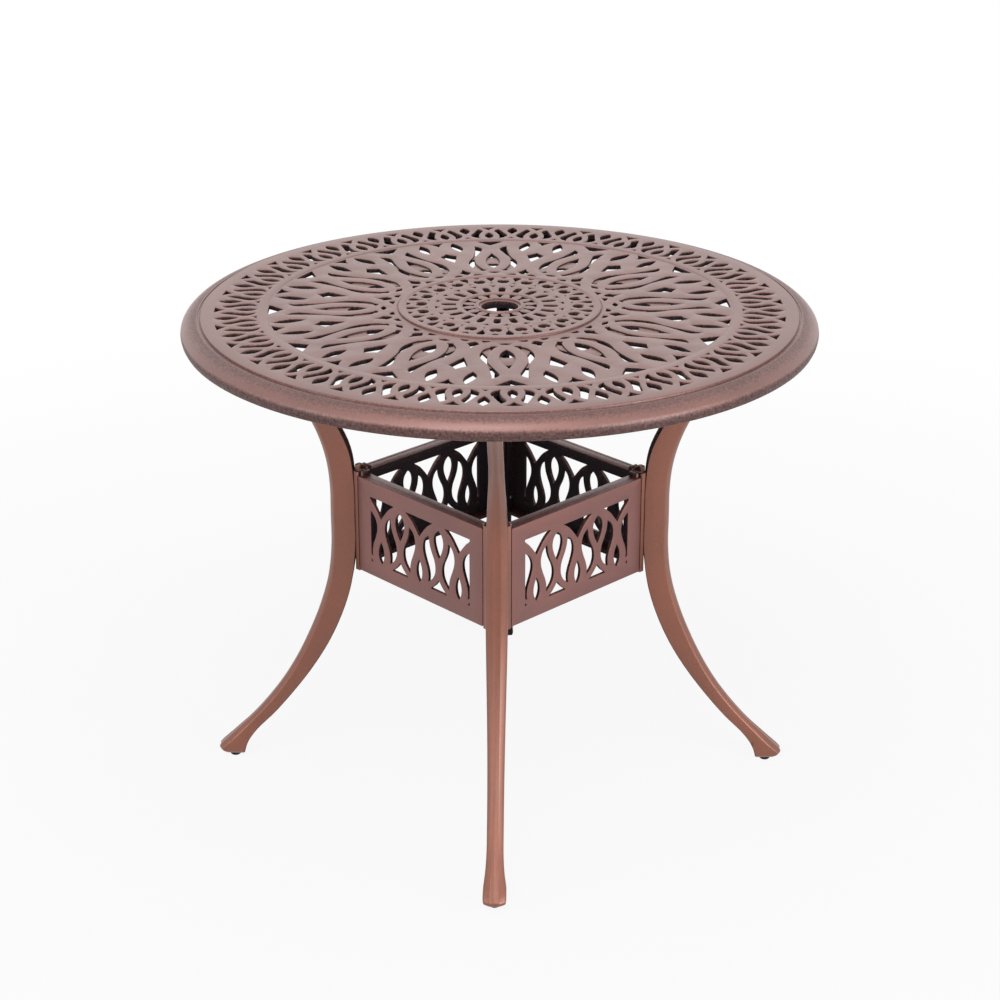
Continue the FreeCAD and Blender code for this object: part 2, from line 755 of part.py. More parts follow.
def panel():
    """One side panel facing +X: openwork plate with inward flanges, end tabs and bolt threads."""
    body = doc.addObject("PartDesign::Body", "panel")
    half, bottom, top = "panel_half_length", "panel_bottom", "panel_top"
    flange = "panel_flange_thickness"

    outline = body_sketch(body, "panel_outline", "YZ_Plane", "panel_reach")
    draw(outline, rectangle("-" + half, half, bottom, top))
    body_feature(body, "Pad", "panel_block", outline, True, "panel_thickness + panel_flange_depth")

    hollow = body_sketch(body, "panel_hollow_outline", "YZ_Plane", "panel_back")
    draw(hollow, rectangle("%s - %s" % (flange, half), "%s - %s" % (half, flange),
                           "%s + %s" % (bottom, flange), "%s - %s" % (top, flange)))
    body_feature(body, "Pocket", "panel_hollow", hollow, True, "panel_flange_depth")

    tabs = body_sketch(body, "panel_tab_outlines", "YZ_Plane", "panel_back")
    for near, far in ((half, "%s - %s" % (half, flange)), ("%s - %s" % (flange, half), "-" + half)):
        draw(tabs, rectangle(far, near, top, top + " + panel_tab_rise"))
    body_feature(body, "Pad", "panel_tabs", tabs, False, "panel_flange_depth")

    windows = body_sketch(body, "panel_window_outlines", "YZ_Plane", "panel_reach")
    for window in panel_windows():
        draw(windows, window)
    body_feature(body, "Pocket", "panel_openwork", windows, False, "panel_thickness")

    for end in ("top", "bottom"):
        thread = body.newObject("PartDesign::SubtractivePrism", "panel_thread_" + end)
        thread.Placement = FreeCAD.Placement(V(), LYING)
        bound(thread, Polygon="fastener_sides", Circumradius="panel_bolt_radius + thread_gap",
              Height="2 * panel_half_length", reach="panel_bolt_reach", along="-panel_half_length",
              level="panel_bolt_" + end)
    return body


def panel_bolts():
    """Sixteen bolts at the panels' ends: head behind the ear, shank through ear and flange."""
    bolts = []
    for end in ("top", "bottom"):
        place = {"reach": "panel_bolt_reach", "level": "panel_bolt_" + end}
        head = rod("panel_bolt_head_" + end, LYING, Circumradius="panel_bolt_head",
                   Height="panel_bolt_head_height", along="ear_face", **place)
        shank = rod("panel_bolt_shank_" + end, LYING, Circumradius="panel_bolt_radius",
                    Height="ear_face - panel_bolt_end", along="panel_bolt_end", **place)
        bolts.append(boolean("MultiFuse", "panel_bolt_" + end, Shapes=[head, shank]))
    pair = together("panel_bolt_pair", bolts)
    four = [pair, other_side("other_panel_bolt_pair", pair)]
    return together("panel_bolts", [together("panel_bolts_" + name, four, turn)
                                    for name, turn in PANEL_TURNS.items()])


def leg_bolts():
    """Eight bolts up through the legs' pads into the bosses of the top."""
    place = {"reach": "leg_bolt_reach", "along": "leg_bolt_spread"}
    head = rod("leg_bolt_head", Circumradius="leg_bolt_head", Height="leg_bolt_head_height",
               level="pad_foot - leg_bolt_head_height", **place)
    shank = rod("leg_bolt_shank", Circumradius="leg_bolt_radius", Height="leg_bolt_length",
                level="pad_foot", **place)
    bolt = boolean("MultiFuse", "leg_bolt", Shapes=[head, shank])
    pair = [bolt, other_side("other_leg_bolt", bolt)]
    return together("leg_bolts", [together("leg_bolts_" + name, pair, turn)
                                  for name, turn in LEG_TURNS.items()])


def glide_pad():
    """A domed plastic glide with flat facets, under a foot along +X."""
    body = doc.addObject("PartDesign::Body", "glide_pad")
    disc = body.newObject("PartDesign::AdditivePrism", "glide_disc")
    bound(disc, Polygon="glide_sides", Circumradius="glide_radius", Height="glide_height",
          reach="glide_reach")
    doc.recompute()
    sole = ["Face%d" % number for number, face in enumerate(disc.Shape.Faces, start=1)
            if face.BoundBox.ZMax < FLAT]
    dome = body.newObject("PartDesign::Chamfer", "glide_dome")
    dome.Base = (disc, sole)
    bound(dome, Size="glide_dome")
    return body


def glide_stem():
    """The glide's stem, up into the bore of the foot."""
    return rod("glide_stem", Circumradius="stem_radius", Height="stem_length",
               reach="glide_reach", level="glide_height")


def repeated(name, item, turns):
    """A piece in each of its places round the table, as a sub-part of its own."""
    return [together("%s_%s" % (name, place), [item], turn) for place, turn in turns.items()]


def check_and_write(parts):
    """Every sub-part is sound before any file is written."""
    for item in doc.Objects:
        bad = [state for state in item.State if state in ("Invalid", "Error")]
        if bad:
            raise RuntimeError("%s: %s" % (item.Name, bad))
    for part in parts:
        if part.Shape.isNull() or not part.Shape.isValid():
            raise RuntimeError("%s has no sound shape" % part.Label)
    for part in parts:
        part.Shape.exportStep("parts/%s.step" % part.Label)
        print("%-20s %8.1f cm3  %d solid(s)" % (part.Label, part.Shape.Volume / 1000, len(part.Shape.Solids)))


sub_parts = [table_top(), leg_bolts(), panel_bolts()]
sub_parts += repeated("leg", leg(), LEG_TURNS)
sub_parts += repeated("glide_pad", glide_pad(), LEG_TURNS)
sub_parts += repeated("glide_stem", glide_stem(), LEG_TURNS)
sub_parts += repeated("panel", panel(), PANEL_TURNS)
doc.recompute()
check_and_write(sub_parts)
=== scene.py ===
"""Cast patio table with an openwork top: the visible surfaces, their finishes, a stage and a camera."""
import json
import math

import bpy
import numpy as np
from bpy.props import FloatProperty, FloatVectorProperty, PointerProperty
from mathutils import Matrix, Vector
from mathutils.geometry import delaunay_2d_cdt


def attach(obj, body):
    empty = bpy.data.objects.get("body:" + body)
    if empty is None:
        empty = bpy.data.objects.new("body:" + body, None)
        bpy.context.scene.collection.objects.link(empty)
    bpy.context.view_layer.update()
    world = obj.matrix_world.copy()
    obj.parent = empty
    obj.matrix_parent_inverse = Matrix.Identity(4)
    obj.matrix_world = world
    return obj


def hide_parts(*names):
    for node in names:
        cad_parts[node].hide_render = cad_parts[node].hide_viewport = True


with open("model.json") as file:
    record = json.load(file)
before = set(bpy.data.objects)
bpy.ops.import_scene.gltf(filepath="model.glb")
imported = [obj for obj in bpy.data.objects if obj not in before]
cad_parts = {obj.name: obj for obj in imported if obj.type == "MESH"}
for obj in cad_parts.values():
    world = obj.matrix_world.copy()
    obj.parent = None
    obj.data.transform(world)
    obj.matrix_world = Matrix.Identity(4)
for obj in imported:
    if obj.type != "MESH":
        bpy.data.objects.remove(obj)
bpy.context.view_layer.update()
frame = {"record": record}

bl_info = {
    "name": "Openwork umbrella table",
    "version": (1, 0, 0),
    "blender": (4, 5, 0),
    "location": "View3D > Sidebar > Table",
    "description": "Builds the castings, fasteners and glides of a round openwork patio table",
    "category": "Add Mesh",
}

MOUNTS = {mount["name"]: mount for mount in frame["record"]["mounts"]}
MM = 0.001
# Points of a full turn about the table's axis, and the bend past which an edge stays crisp
ROUND = 192
CREASE = math.radians(24)
SIDES = ("front", "right", "back", "left")
CORNERS = ("front_right", "back_right", "back_left", "front_left")


# Openings

# An opening is a list of smooth runs with corners between them, where a run carries on from the end
# of the one before. A point is degrees off the opening's own axis and a radius in millimetres. An
# outline that starts at 0 is half an opening on the axis and is completed by its mirror image. Any
# other is an opening beside the axis, and has its mirror image as its twin on the other side.
BAND_AT_AXIS = [
    [[(0, 409), (1.55, 409)], [(0.62, 401.5), (0, 394.8)]],
    [[(0, 380.6), (0.72, 373), (1.05, 363), (0.8, 355), (0, 348.6)]],
    [[(2.36, 400), (3.0, 390.6), (3.62, 379.7), (4.42, 368), (4.45, 362), (3.85, 355), (2.42, 349.2)],
     [(2.66, 358), (2.5, 367), (1.95, 379.7), (1.4, 388.5), (1.6, 394.5), (2.36, 400)]],
]
BAND_BETWEEN = [
    [[(0, 408.2), (0.85, 400), (1.17, 390.5), (0.8, 382.5), (0, 373.4)]],
    [[(0, 355), (0.4, 351.5), (0.78, 348.9)], [(0, 348.9)]],
]

PETAL_AT_AXIS = [
    [[(0, 332.4), (3.7, 332.4)], [(1.9, 320.5), (0, 310.6)]],
    [[(0, 266.8), (0.75, 257), (1.67, 246.2), (2.3, 236), (2.65, 226), (2.75, 217), (2.5, 208.5),
      (1.5, 198.5), (0, 190.4)]],
    [[(0, 171), (1.5, 169.8), (3.05, 167.2)], [(1.5, 164.2), (0, 162.8)]],
    [[(4.71, 306), (4.75, 297), (5.05, 285), (5.5, 271), (5.96, 260.5), (6.5, 251.5), (7.3, 242.6),
      (8.5, 233), (9.55, 222), (9.95, 211), (9.75, 200), (9.1, 190.5), (8.0, 184.5), (7.0, 181.6)],
     [(6.4, 177), (5.2, 175.4), (4.2, 177), (3.54, 179)],
     [(4.9, 183), (5.83, 191), (6.6, 202), (7.1, 213), (7.05, 222), (6.9, 231), (6.45, 243),
      (5.75, 251.5), (5.0, 259.5), (4.1, 270), (3.33, 279.5), (2.75, 291), (3.3, 299), (4.71, 306)]],
]
PETAL_BETWEEN = [
    [[(0, 332.4), (2.2, 332.4)], [(0.85, 324), (0, 314)]],
    [[(0, 274.2), (1.3, 267), (2.85, 261)], [(1.6, 243), (0, 227)]],
    [[(0, 187), (0.65, 180.5), (1.7, 174.6), (2.85, 171)], [(1.7, 164), (0, 159.8)]],
    [[(4.58, 329), (6.0, 313), (6.54, 299), (6.1, 289), (5.08, 281)],
     [(3.95, 294), (3.46, 308), (3.75, 319), (4.58, 329)]],
    [[(8.4, 153.9), (6.6, 159.3), (4.38, 161.2)], [(3.5, 157.5), (3.33, 153.5)], [(8.4, 153.9)]],
]

# Plans of the webs that cross the petals' openings; their ends lie inside the strands. The drop is
# to their tops, and the edge is the radius of their rounded edges, in millimetres.
PETAL_WEB_ON_AXIS = [(0, 248.6), (1.0, 248), (2.3, 245), (3.2, 238), (3.7, 226), (3.7, 214), (2.6, 213.5),
                     (1.1, 218.6), (0, 217.4)]
PETAL_WEBS_BESIDE_AXIS = [
    [(4.5, 259.2), (5.2, 259.6), (6.5, 261), (7.5, 251), (8.3, 242.2), (7.2, 242.6), (6.5, 242), (5.4, 241)],
    [(6.3, 214), (7.6, 211.5), (9.5, 197.6), (10.6, 196), (10.1, 187.5), (8.6, 181.5), (7.3, 180),
     (6.3, 185.5), (5.7, 191), (4.9, 192.5), (5.6, 203)],
]
WEB_DROP = 3.0
WEB_EDGE = 0.8

ROSETTE_AT_AXIS = [
    [[(0, 134.5), (1.7, 134.4)],
     [(2.4, 131.5), (2.44, 127.5), (1.7, 122.5), (0.55, 117.5), (0, 112.6)]],
    [[(0, 108.6), (0.6, 105.8), (1.5, 104.1)], [(0, 104.1)]],
    [[(0, 93.2), (3.5, 93.2)], [(1.5, 90.4), (0, 86)]],
]
ROSETTE_BETWEEN = [
    [[(0, 134.7), (2.15, 134.7)], [(1.3, 130.6), (0, 128.4)]],
    [[(0, 118.2), (1.1, 120.4), (2.3, 120.9), (3.7, 118.2), (4.4, 113.6), (3.6, 108.6), (2.0, 105.9),
      (0, 105.1)]],
    [[(0, 84.6), (2.0, 83.3), (3.4, 80), (3.85, 75.8), (3.9, 70), (3.95, 63.2)], [(0, 63.2)]],
]
LATTICE_AT_AXIS = [
    [[(0, 53.4), (7.8, 53.4)], [(4.6, 48), (2.45, 42.2), (3.4, 39.2), (5.7, 37.4)], [(0, 37.2)]],
]

# A ring of openings: the radius in millimetres at which its outlines have their true proportion, its
# repeats, the degrees that the first is turned by, and the openings by the share of a repeat that they
# are set off by.
BAND = (378, 32, 3.62, {0: BAND_AT_AXIS, 0.5: BAND_BETWEEN})
PETALS = (240, 12, 3.67, {0: PETAL_AT_AXIS, 0.5: PETAL_BETWEEN})
ROSETTE = (100, 20, 7.27, {0: ROSETTE_AT_AXIS, 0.5: ROSETTE_BETWEEN})
LATTICE = (45, 16, 0.75, {0: LATTICE_AT_AXIS})

# The panels' openings in the same way: share of a repeat off the axis, and share of the window's height
PANEL_ON_AXIS = [
    [[(0, 0.995), (0.345, 0.995)], [(0.205, 0.915), (0.09, 0.81), (0, 0.715)]],
    [[(0, 0.375), (0.052, 0.29), (0.072, 0.195), (0.05, 0.1), (0, 0.035)]],
]
PANEL_BESIDE_AXIS = [
    [[(0.25, 0.79), (0.164, 0.74), (0.107, 0.63), (0.108, 0.53), (0.155, 0.41), (0.212, 0.3), (0.24, 0.2),
      (0.232, 0.11)],
     [(0.334, 0.175), (0.4, 0.27), (0.412, 0.37), (0.385, 0.465), (0.325, 0.56), (0.277, 0.655),
      (0.25, 0.79)]],
]
PANEL_BETWEEN = [
    [[(0, 0.925), (0.085, 0.86), (0.117, 0.76), (0.08, 0.63), (0, 0.51)]],
    [[(0, 0.19), (0.09, 0.1), (0.205, 0.02)], [(0, 0.02)]],
]
PANEL_HALF_SLOT = [
    [[(0.272, 0.79), (0.18, 0.735), (0.112, 0.63), (0.108, 0.53), (0.155, 0.41), (0.212, 0.3), (0.24, 0.2),
      (0.232, 0.11)], [(0.272, 0.13)], [(0.272, 0.79)]],
    [[(0.235, 0.03), (0.272, 0.065)], [(0.272, 0.02)], [(0.235, 0.03)]],
]
# Repeats from the middle at which the openings stand, the openings, and which of each: the first
# is as drawn, and the second its mirror image.
PANEL_OPENINGS = [
    ((-1, 0, 1), PANEL_ON_AXIS, (0,)),
    ((0,), PANEL_BESIDE_AXIS, (0, 1)),
    ((-1,), PANEL_BESIDE_AXIS, (0,)),
    ((1,), PANEL_BESIDE_AXIS, (1,)),
    ((-0.5, 0.5), PANEL_BETWEEN, (0,)),
    ((1,), PANEL_HALF_SLOT, (0,)),
    ((-1,), PANEL_HALF_SLOT, (1,)),
]
# A repeat's width, and half the width of the window that the openings end at, in millimetres
PANEL_REPEAT = 83.4
PANEL_WINDOW_HALF = 106.7


# Castings, bolts and lamps

# Drops under the plane of the top, in millimetres
RIM_HOLLOW = 8
BOSS_FOOT = 18
PAD_FOOT = 28
EAR_TOP, EAR_FOOT = 253, 412.3
PANEL_TOP, PANEL_FOOT = 258.5, 410.3
PANEL_BOLT_DROPS = (286.5, 382.3)

# Radii in millimetres: the medallion's edge, and the ledge inside the rim
MEDALLION_EDGE = 147
RIM_LEDGE = 429

# A leg from its pad to its sole: reach and drop of the outer edge, reach and drop of the inner
# edge, width and depth of the channel in its back.
LEG_STATIONS = [
    (431.6, 28, 388, 28, 20, 0), (382, 69.6, 352, 57, 20, 12), (331, 112.5, 313, 91, 20, 17),
    (297, 146, 273, 126, 20.5, 20), (272.9, 188, 243.4, 174.3, 23, 21), (257.5, 236, 221, 226.5, 28, 24),
    (252.3, 281, 215, 281, 31.5, 24), (252.3, 326, 215, 326, 31.8, 24), (252.3, 371, 215, 371, 31.5, 24),
    (259, 429.5, 223.3, 437.7, 30, 24), (272.5, 478, 239, 489, 28, 22.5),
    (290.3, 523.4, 260.9, 537.6, 26, 20.5), (309.5, 564, 286, 579.5, 24.6, 17),
    (331.5, 601.9, 314.5, 619, 23.8, 13), (359, 639.5, 346, 657.5, 23.6, 10),
    (388.3, 672.8, 377, 690, 24.4, 5), (403.5, 687.4, 387, 703.5, 27, 0), (416, 699.6, 391.5, 712, 30.4, 0),
    (426, 709, 393.6, 717.5, 32.4, 0), (432.4, 715.3, 394.6, 721.4, 32.8, 0),
    (435.8, 720, 395.2, 723.8, 32.2, 0), (435.2, 723.6, 395.6, 725.8, 31, 0),
    (432.2, 726.2, 396.4, 727.4, 29.2, 0), (428.8, 728, 398, 728.5, 27, 0), (424.5, 729, 401.5, 729, 23.5, 0),
]
# Half of a leg's rounded face: shares of the half width, and depths in millimetres behind the outer
# edge, which shrink where the leg is thinner than FULL_BEVEL.
FACE_ACROSS = [0, 0.18, 0.29, 0.36, 0.43, 0.6, 0.86, 0.955, 0.99, 1.0]
FACE_BEVEL = [0.75, 0.5, 0.12, 0.0, 0.35, 1.7, 4.4, 5.6, 6.6, 7.8]
FULL_BEVEL = 24

# Place and width of each lamp in metres, by the name of its power among the settings
LAMPS = {
    "left": ((-3.0, -1.8, 1.2), 1.4),
    "right": ((3.0, -2.5, 1.0), 2.6),
    "front": ((-1.0, -3.4, 2.4), 2.4),
    "overhead": ((-0.2, -1.9, 3.9), 1.8),
    "back": ((0.0, 4.2, 2.2), 3.5),
}
LAMP_TARGET = (0, 0, 0.45)

# The camera: focal length as a share of the picture's width, place in metres, and how far it looks
# down and turns left, in degrees
SENSOR_WIDTH = 36.0
FOCAL_LENGTH = 2.1698
CAMERA_PLACE = (0.0506, -2.976, 1.7052)
LOOKS_DOWN, TURNS_LEFT = 20.51, 0.973


# Curves

def flowing(points, steps):
    """Smooth run through points.

    Each span is a cubic whose slope at an inner point is the mean of the two chords' slopes, each
    weighted by the other chord's length. The end slopes carry the bend on: 1.5 chord - 0.5 inner.
    """
    points = np.asarray(points, float)
    chord = np.diff(points, axis=0)
    if len(points) == 2:
        return points[0] + chord[0] * np.linspace(0, 1, steps + 1)[:, None]
    length = np.linalg.norm(chord, axis=1)[:, None]
    slope = chord / length
    inner = (slope[:-1] * length[1:] + slope[1:] * length[:-1]) / (length[:-1] + length[1:])
    first, last = 1.5 * slope[:1] - 0.5 * inner[:1], 1.5 * slope[-1:] - 0.5 * inner[-1:]
    slopes = np.concatenate([first, inner, last])
    t = np.linspace(0, 1, steps, endpoint=False)[None, :, None]
    start, end = points[:-1, None], points[1:, None]
    leave, arrive = (slopes[:-1] * length)[:, None], (slopes[1:] * length)[:, None]
    spans = (start * (1 + 2 * t) * (1 - t) ** 2 + leave * t * (1 - t) ** 2
             + end * t ** 2 * (3 - 2 * t) + arrive * t ** 2 * (t - 1))
    return np.concatenate([spans.reshape(-1, points.shape[1]), points[-1:]])


def mirrored(shape):
    """The shape on the axis's other side, in the reverse order, so that it keeps its turn."""
    return shape[::-1] * (-1, 1)


def outlines(runs, scale, steps):
    """Closed outlines from one opening's runs, in true proportion: scale turns a point into millimetres.

    Half an opening gives one, which goes on as its mirror image without the points that lie on the
    axis. A whole one gives itself and its mirror image.
    """
    parts, last = [], []
    for run in runs:
        parts.append(flowing(np.array(last + run) * scale, steps) / scale)
        last = run[-1:]
    path = np.concatenate([part[:-1] for part in parts] + [parts[-1][-1:]])
    if runs[0][0][0] != 0:
        return [path[:-1], mirrored(path[:-1])]
    mirror = mirrored(path)
    on_axis = np.abs(mirror[:, 0]) < 1e-9
    return [np.concatenate([path, mirror[~on_axis]])]


def ring_loops(true_radius, repeats, turn, openings, steps):
    """Loops of openings round the axis, as a list of arrays (repeat, point, x and y).

    A point of repeat k stands at the angle turn + 360 (k + shift) / repeats + its own degrees,
    counted from the front, and x = radius sin, y = -radius cos of it.
    """
    scale = np.array([true_radius * math.pi / 180, 1.0])
    loops = []
    for shift, shapes in openings.items():
        axis = turn + (np.arange(repeats)[:, None] + shift) * 360 / repeats
        for runs in shapes:
            for shape in outlines(runs, scale, steps):
                angle = np.radians(axis + shape[None, :, 0])
                radius = shape[None, :, 1] * MM
                loop = np.stack([radius * np.sin(angle), -radius * np.cos(angle)], -1)
                loops.append(counterclockwise(loop))
    return loops


def signed_area(loops):
    """Twice the area in each loop (..., point, x and y), above zero where its inside is on the left."""
    ahead = np.roll(loops, -1, axis=-2)
    return (loops[..., 0] * ahead[..., 1] - loops[..., 1] * ahead[..., 0]).sum(-1)


def counterclockwise(loops):
    """The loops (loop, point, x and y), each with its inside on the left."""
    return np.where(signed_area(loops)[:, None, None] < 0, loops[:, ::-1], loops)


def widened(loops, distance):
    """Loops moved to their right by a distance.

    A corner goes along the mean of its two edges' normals, by distance / cos(half its turn), and
    by no more than 1.8 times the distance.
    """
    ahead = np.roll(loops, -1, axis=1) - loops
    ahead /= np.linalg.norm(ahead, axis=-1, keepdims=True)
    normal = np.stack([ahead[..., 1], -ahead[..., 0]], -1)
    both = normal + np.roll(normal, 1, axis=1)
    both /= np.maximum(np.linalg.norm(both, axis=-1, keepdims=True), 1e-9)
    stretch = np.minimum(1 / np.maximum((both * normal).sum(-1, keepdims=True), 0.1), 1.8)
    return loops + both * stretch * distance


# Shells

class Shell:
    """A mesh in the making: points and faces, with the ids of the rings that later faces join."""

    def __init__(self):
        self.points = []
        self.faces = []
        self.count = 0

    def add(self, points):
        """Adds an array (..., 3) of points and gives their ids in the same arrangement."""
        points = np.asarray(points, float)
        ids = self.count + np.arange(points[..., 0].size).reshape(points.shape[:-1])
        self.points.append(points.reshape(-1, 3))
        self.count += ids.size
        return ids

    def skin(self, rings):
        """Joins closed ring to closed ring with four-sided faces: rings is (..., ring, point, 3)."""
        ids = self.add(rings)
        near, far = ids[..., :-1, :], ids[..., 1:, :]
        quads = np.stack([near, np.roll(near, -1, -1), np.roll(far, -1, -1), far], -1)
        self.faces.append(quads.reshape(-1, 4))
        return ids

    def lathe(self, profile, around=ROUND, centre=(0, 0)):
        """Turns a profile of radius and height in millimetres about an upright axis.

        Its centre is in metres. x = centre + radius sin a and y = centre - radius cos a, for a full
        turn of a. An end of the profile on the axis becomes one point, joined to its neighbour by a fan.
        """
        profile = np.asarray(profile, float) * MM
        first, last = int(profile[0, 0] == 0), len(profile) - int(profile[-1, 0] == 0)
        angle = 2 * math.pi * np.arange(around) / around
        open_part = profile[first:last]
        radius, height = open_part[:, :1], open_part[:, 1:]
        x, y = centre[0] + radius * np.sin(angle), centre[1] - radius * np.cos(angle)
        ids = self.skin(np.stack(np.broadcast_arrays(x, y, height), -1))
        if first:
            self.fan(ids[0], (centre[0], centre[1], profile[0, 1]), True)
        if last < len(profile):
            self.fan(ids[-1], (centre[0], centre[1], profile[-1, 1]), False)
        return ids

    def fan(self, ids, middle, flip):
        """Closes one ring with a fan of faces about a point."""
        hub = self.add([middle])[0]
        faces = np.stack([ids, np.roll(ids, -1), np.full(len(ids), hub)], -1)
        self.faces.append(faces[:, ::-1] if flip else faces)

    def cap(self, ids, flip=False):
        """Closes one ring with a fan about its middle."""
        self.fan(ids, np.concatenate(self.points)[ids].mean(0), flip)

    def fill(self, outer, inner, holes):
        """Two flat skins between an outer ring, an inner ring or none, and the holes' rings.

        Each of outer, inner and every hole is a pair of id arrays: top ring and bottom ring. The
        plan is cut into triangles once, with every ring's edges kept, and used for both skins.
        """
        rings = [outer] + ([inner] if inner is not None else []) + holes
        top = np.concatenate([pair[0] for pair in rings])
        bottom = np.concatenate([pair[1] for pair in rings])
        counts = np.cumsum([0] + [len(pair[0]) for pair in rings])
        plan = np.concatenate(self.points)[top][:, :2]
        loops = [list(range(start, end)) for start, end in zip(counts, counts[1:])]
        if signed_area(plan[:counts[1]]) < 0:
            loops[0].reverse()
        found = delaunay_2d_cdt([Vector(point) for point in plan.tolist()], [], loops, 1, 1e-7)
        places = np.array([origin[0] if origin else -1 for origin in found[3]])
        if (places < 0).any():
            raise RuntimeError("openings cross each other")
        kept = [face for face, origin in zip(found[2], found[5]) if origin == [0]]
        triangles = places[np.array(kept)]
        self.faces.append(top[triangles])
        self.faces.append(bottom[triangles][:, ::-1])

    def change(self, start, work):
        """Puts the points added since start where a function of their array says."""
        points = np.concatenate(self.points)
        points[start:] = work(points[start:])
        self.points = [points]

    def turn(self, start, angle):
        """Turns the points added since start about the table's axis, counterclockwise from above."""
        cos, sin = math.cos(angle), math.sin(angle)
        spin = np.array([[cos, sin, 0], [-sin, cos, 0], [0, 0, 1]])
        self.change(start, lambda points: points @ spin)

    def piece(self, name, slot, body, replaced, rubbed=None):
        """Makes the object: smooth faces with creases, riding on its body and replacing CAD nodes.

        A function of points and normals, where given, says how far the dark coat is rubbed to bronze; this
        share also paints shade on faces turned from the lamps and a highlight on the rim's bulge, and is kept
        in a point attribute.
        """
        mesh = bpy.data.meshes.new(name)
        faces = [face for block in self.faces for face in block.tolist()]
        points = np.concatenate(self.points)
        mesh.from_pydata(points.tolist(), [], faces)
        mesh.validate()
        mesh.shade_smooth()
        mesh.set_sharp_from_angle(angle=CREASE)
        # Share of real rub-through mixed with painted light: low shares paint shade, the rim's peak paints a
        # highlight
        if rubbed:
            normals = np.empty(points.size)
            mesh.vertices.foreach_get("normal", normals)
            share = np.clip(rubbed(points, normals.reshape(-1, 3)), 0, 1)
            shares = mesh.attributes.new("rubbed", "FLOAT", "POINT")
            shares.data.foreach_set("value", share.astype(np.float32))
        made = bpy.data.objects.new(name, mesh)
        bpy.context.scene.collection.objects.link(made)
        made.data.materials.append(material_of(slot))
        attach(made, body)
        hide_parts(*replaced)


def outwardness(normals, turn):
    """How far surfaces face away from the table's axis, for a piece that stands at an angle."""
    return normals[:, 0] * math.cos(turn) + normals[:, 1] * math.sin(turn)


def leg_rub_and_painted_shade(turn):
    """Rubbed share of a leg: all but its back, which faces the table's axis, and its level tops.

    It rises from 0 to 1 as outwardness goes from -0.45 to -0.2, and falls where a surface's normal
    is within about 30 degrees of upright. The dark back and tops are partly the coat's dark base and
    partly painted shade.
    """
    def share(points, normals):
        return (outwardness(normals, turn) + 0.45) / 0.25 - 4 * np.maximum(normals[:, 2] - 0.85, 0) / 0.15
    return share


def panel_rub_and_painted_shade(turn):
    """Rubbed share of a panel: its outer face and, less, its upward edges. The dark inner face is partly the
    coat's dark base and partly painted shade.
    """
    def share(points, normals):
        return np.maximum(outwardness(normals, turn) * 1.5, normals[:, 2] * 0.8)
    return share


def top_rub_and_painted_light(sizes):
    """Rubbed share of the top: its upward surfaces, and the rim most of all on its bulge.

    A wall of an opening is rubbed by 0.85 at the surface and 0.3 less for each millimetre down, partly dark
    coat in the hollows and partly painted shade. Upward surfaces get a high share, partly rub-through and
    partly painted light. The rim is rubbed most where its normal's upward part is 0.65, a painted highlight
    on its bulge, and not on its inside, which is dark as painted shade.
    """
    def share(points, normals):
        radius = np.hypot(points[:, 0], points[:, 1]) / MM
        upward = normals[:, 2]
        outward = (normals[:, :2] * points[:, :2]).sum(1) / np.maximum(radius * MM, MM)
        height = (points[:, 2] - sizes.surface_height) / MM
        surface = np.where(radius < MEDALLION_EDGE, sizes.medallion_rise / MM, 0)
        # Walls darker further down: partly dark coat in the hollows, partly painted shade
        wall = np.where(upward > -0.3, 0.85 + (height - surface) * 0.3, 0)
        inside = np.where(height < -RIM_HOLLOW, np.minimum(outward, 0), 0)
        # Rim: painted highlight peaking on the bulge, painted shade on its inside
        rim = np.maximum(1.05 - 1.3 * np.abs(upward - 0.65), 0.42) + 2.0 * inside
        return np.where(radius > RIM_LEDGE, rim, np.maximum(wall, upward * 1.4))
    return share


def pierce(shell, loops, top, bottom, edge):
    """Walls of openings: rings go over a rounded lip at the top, down, and over a bevel at the bottom.

    The lip is a quarter circle of radius edge in three steps: out edge (1 - sin a), down
    edge (1 - cos a), for a from 0 to a right angle. All heights and the edge are in metres.
    """
    lip = [(edge * (1 - math.sin(a)), top - edge * (1 - math.cos(a))) for a in np.radians([0, 32, 62, 90])]
    levels = lip + [(0, bottom + edge), (edge, bottom)]
    holes = []
    for group in loops:
        rings = [np.dstack([widened(group, out), np.full(group.shape[:2], height)]) for out, height in levels]
        ids = shell.skin(np.stack(rings, 1))
        holes += list(zip(ids[:, 0], ids[:, -1]))
    return holes


# Finishes

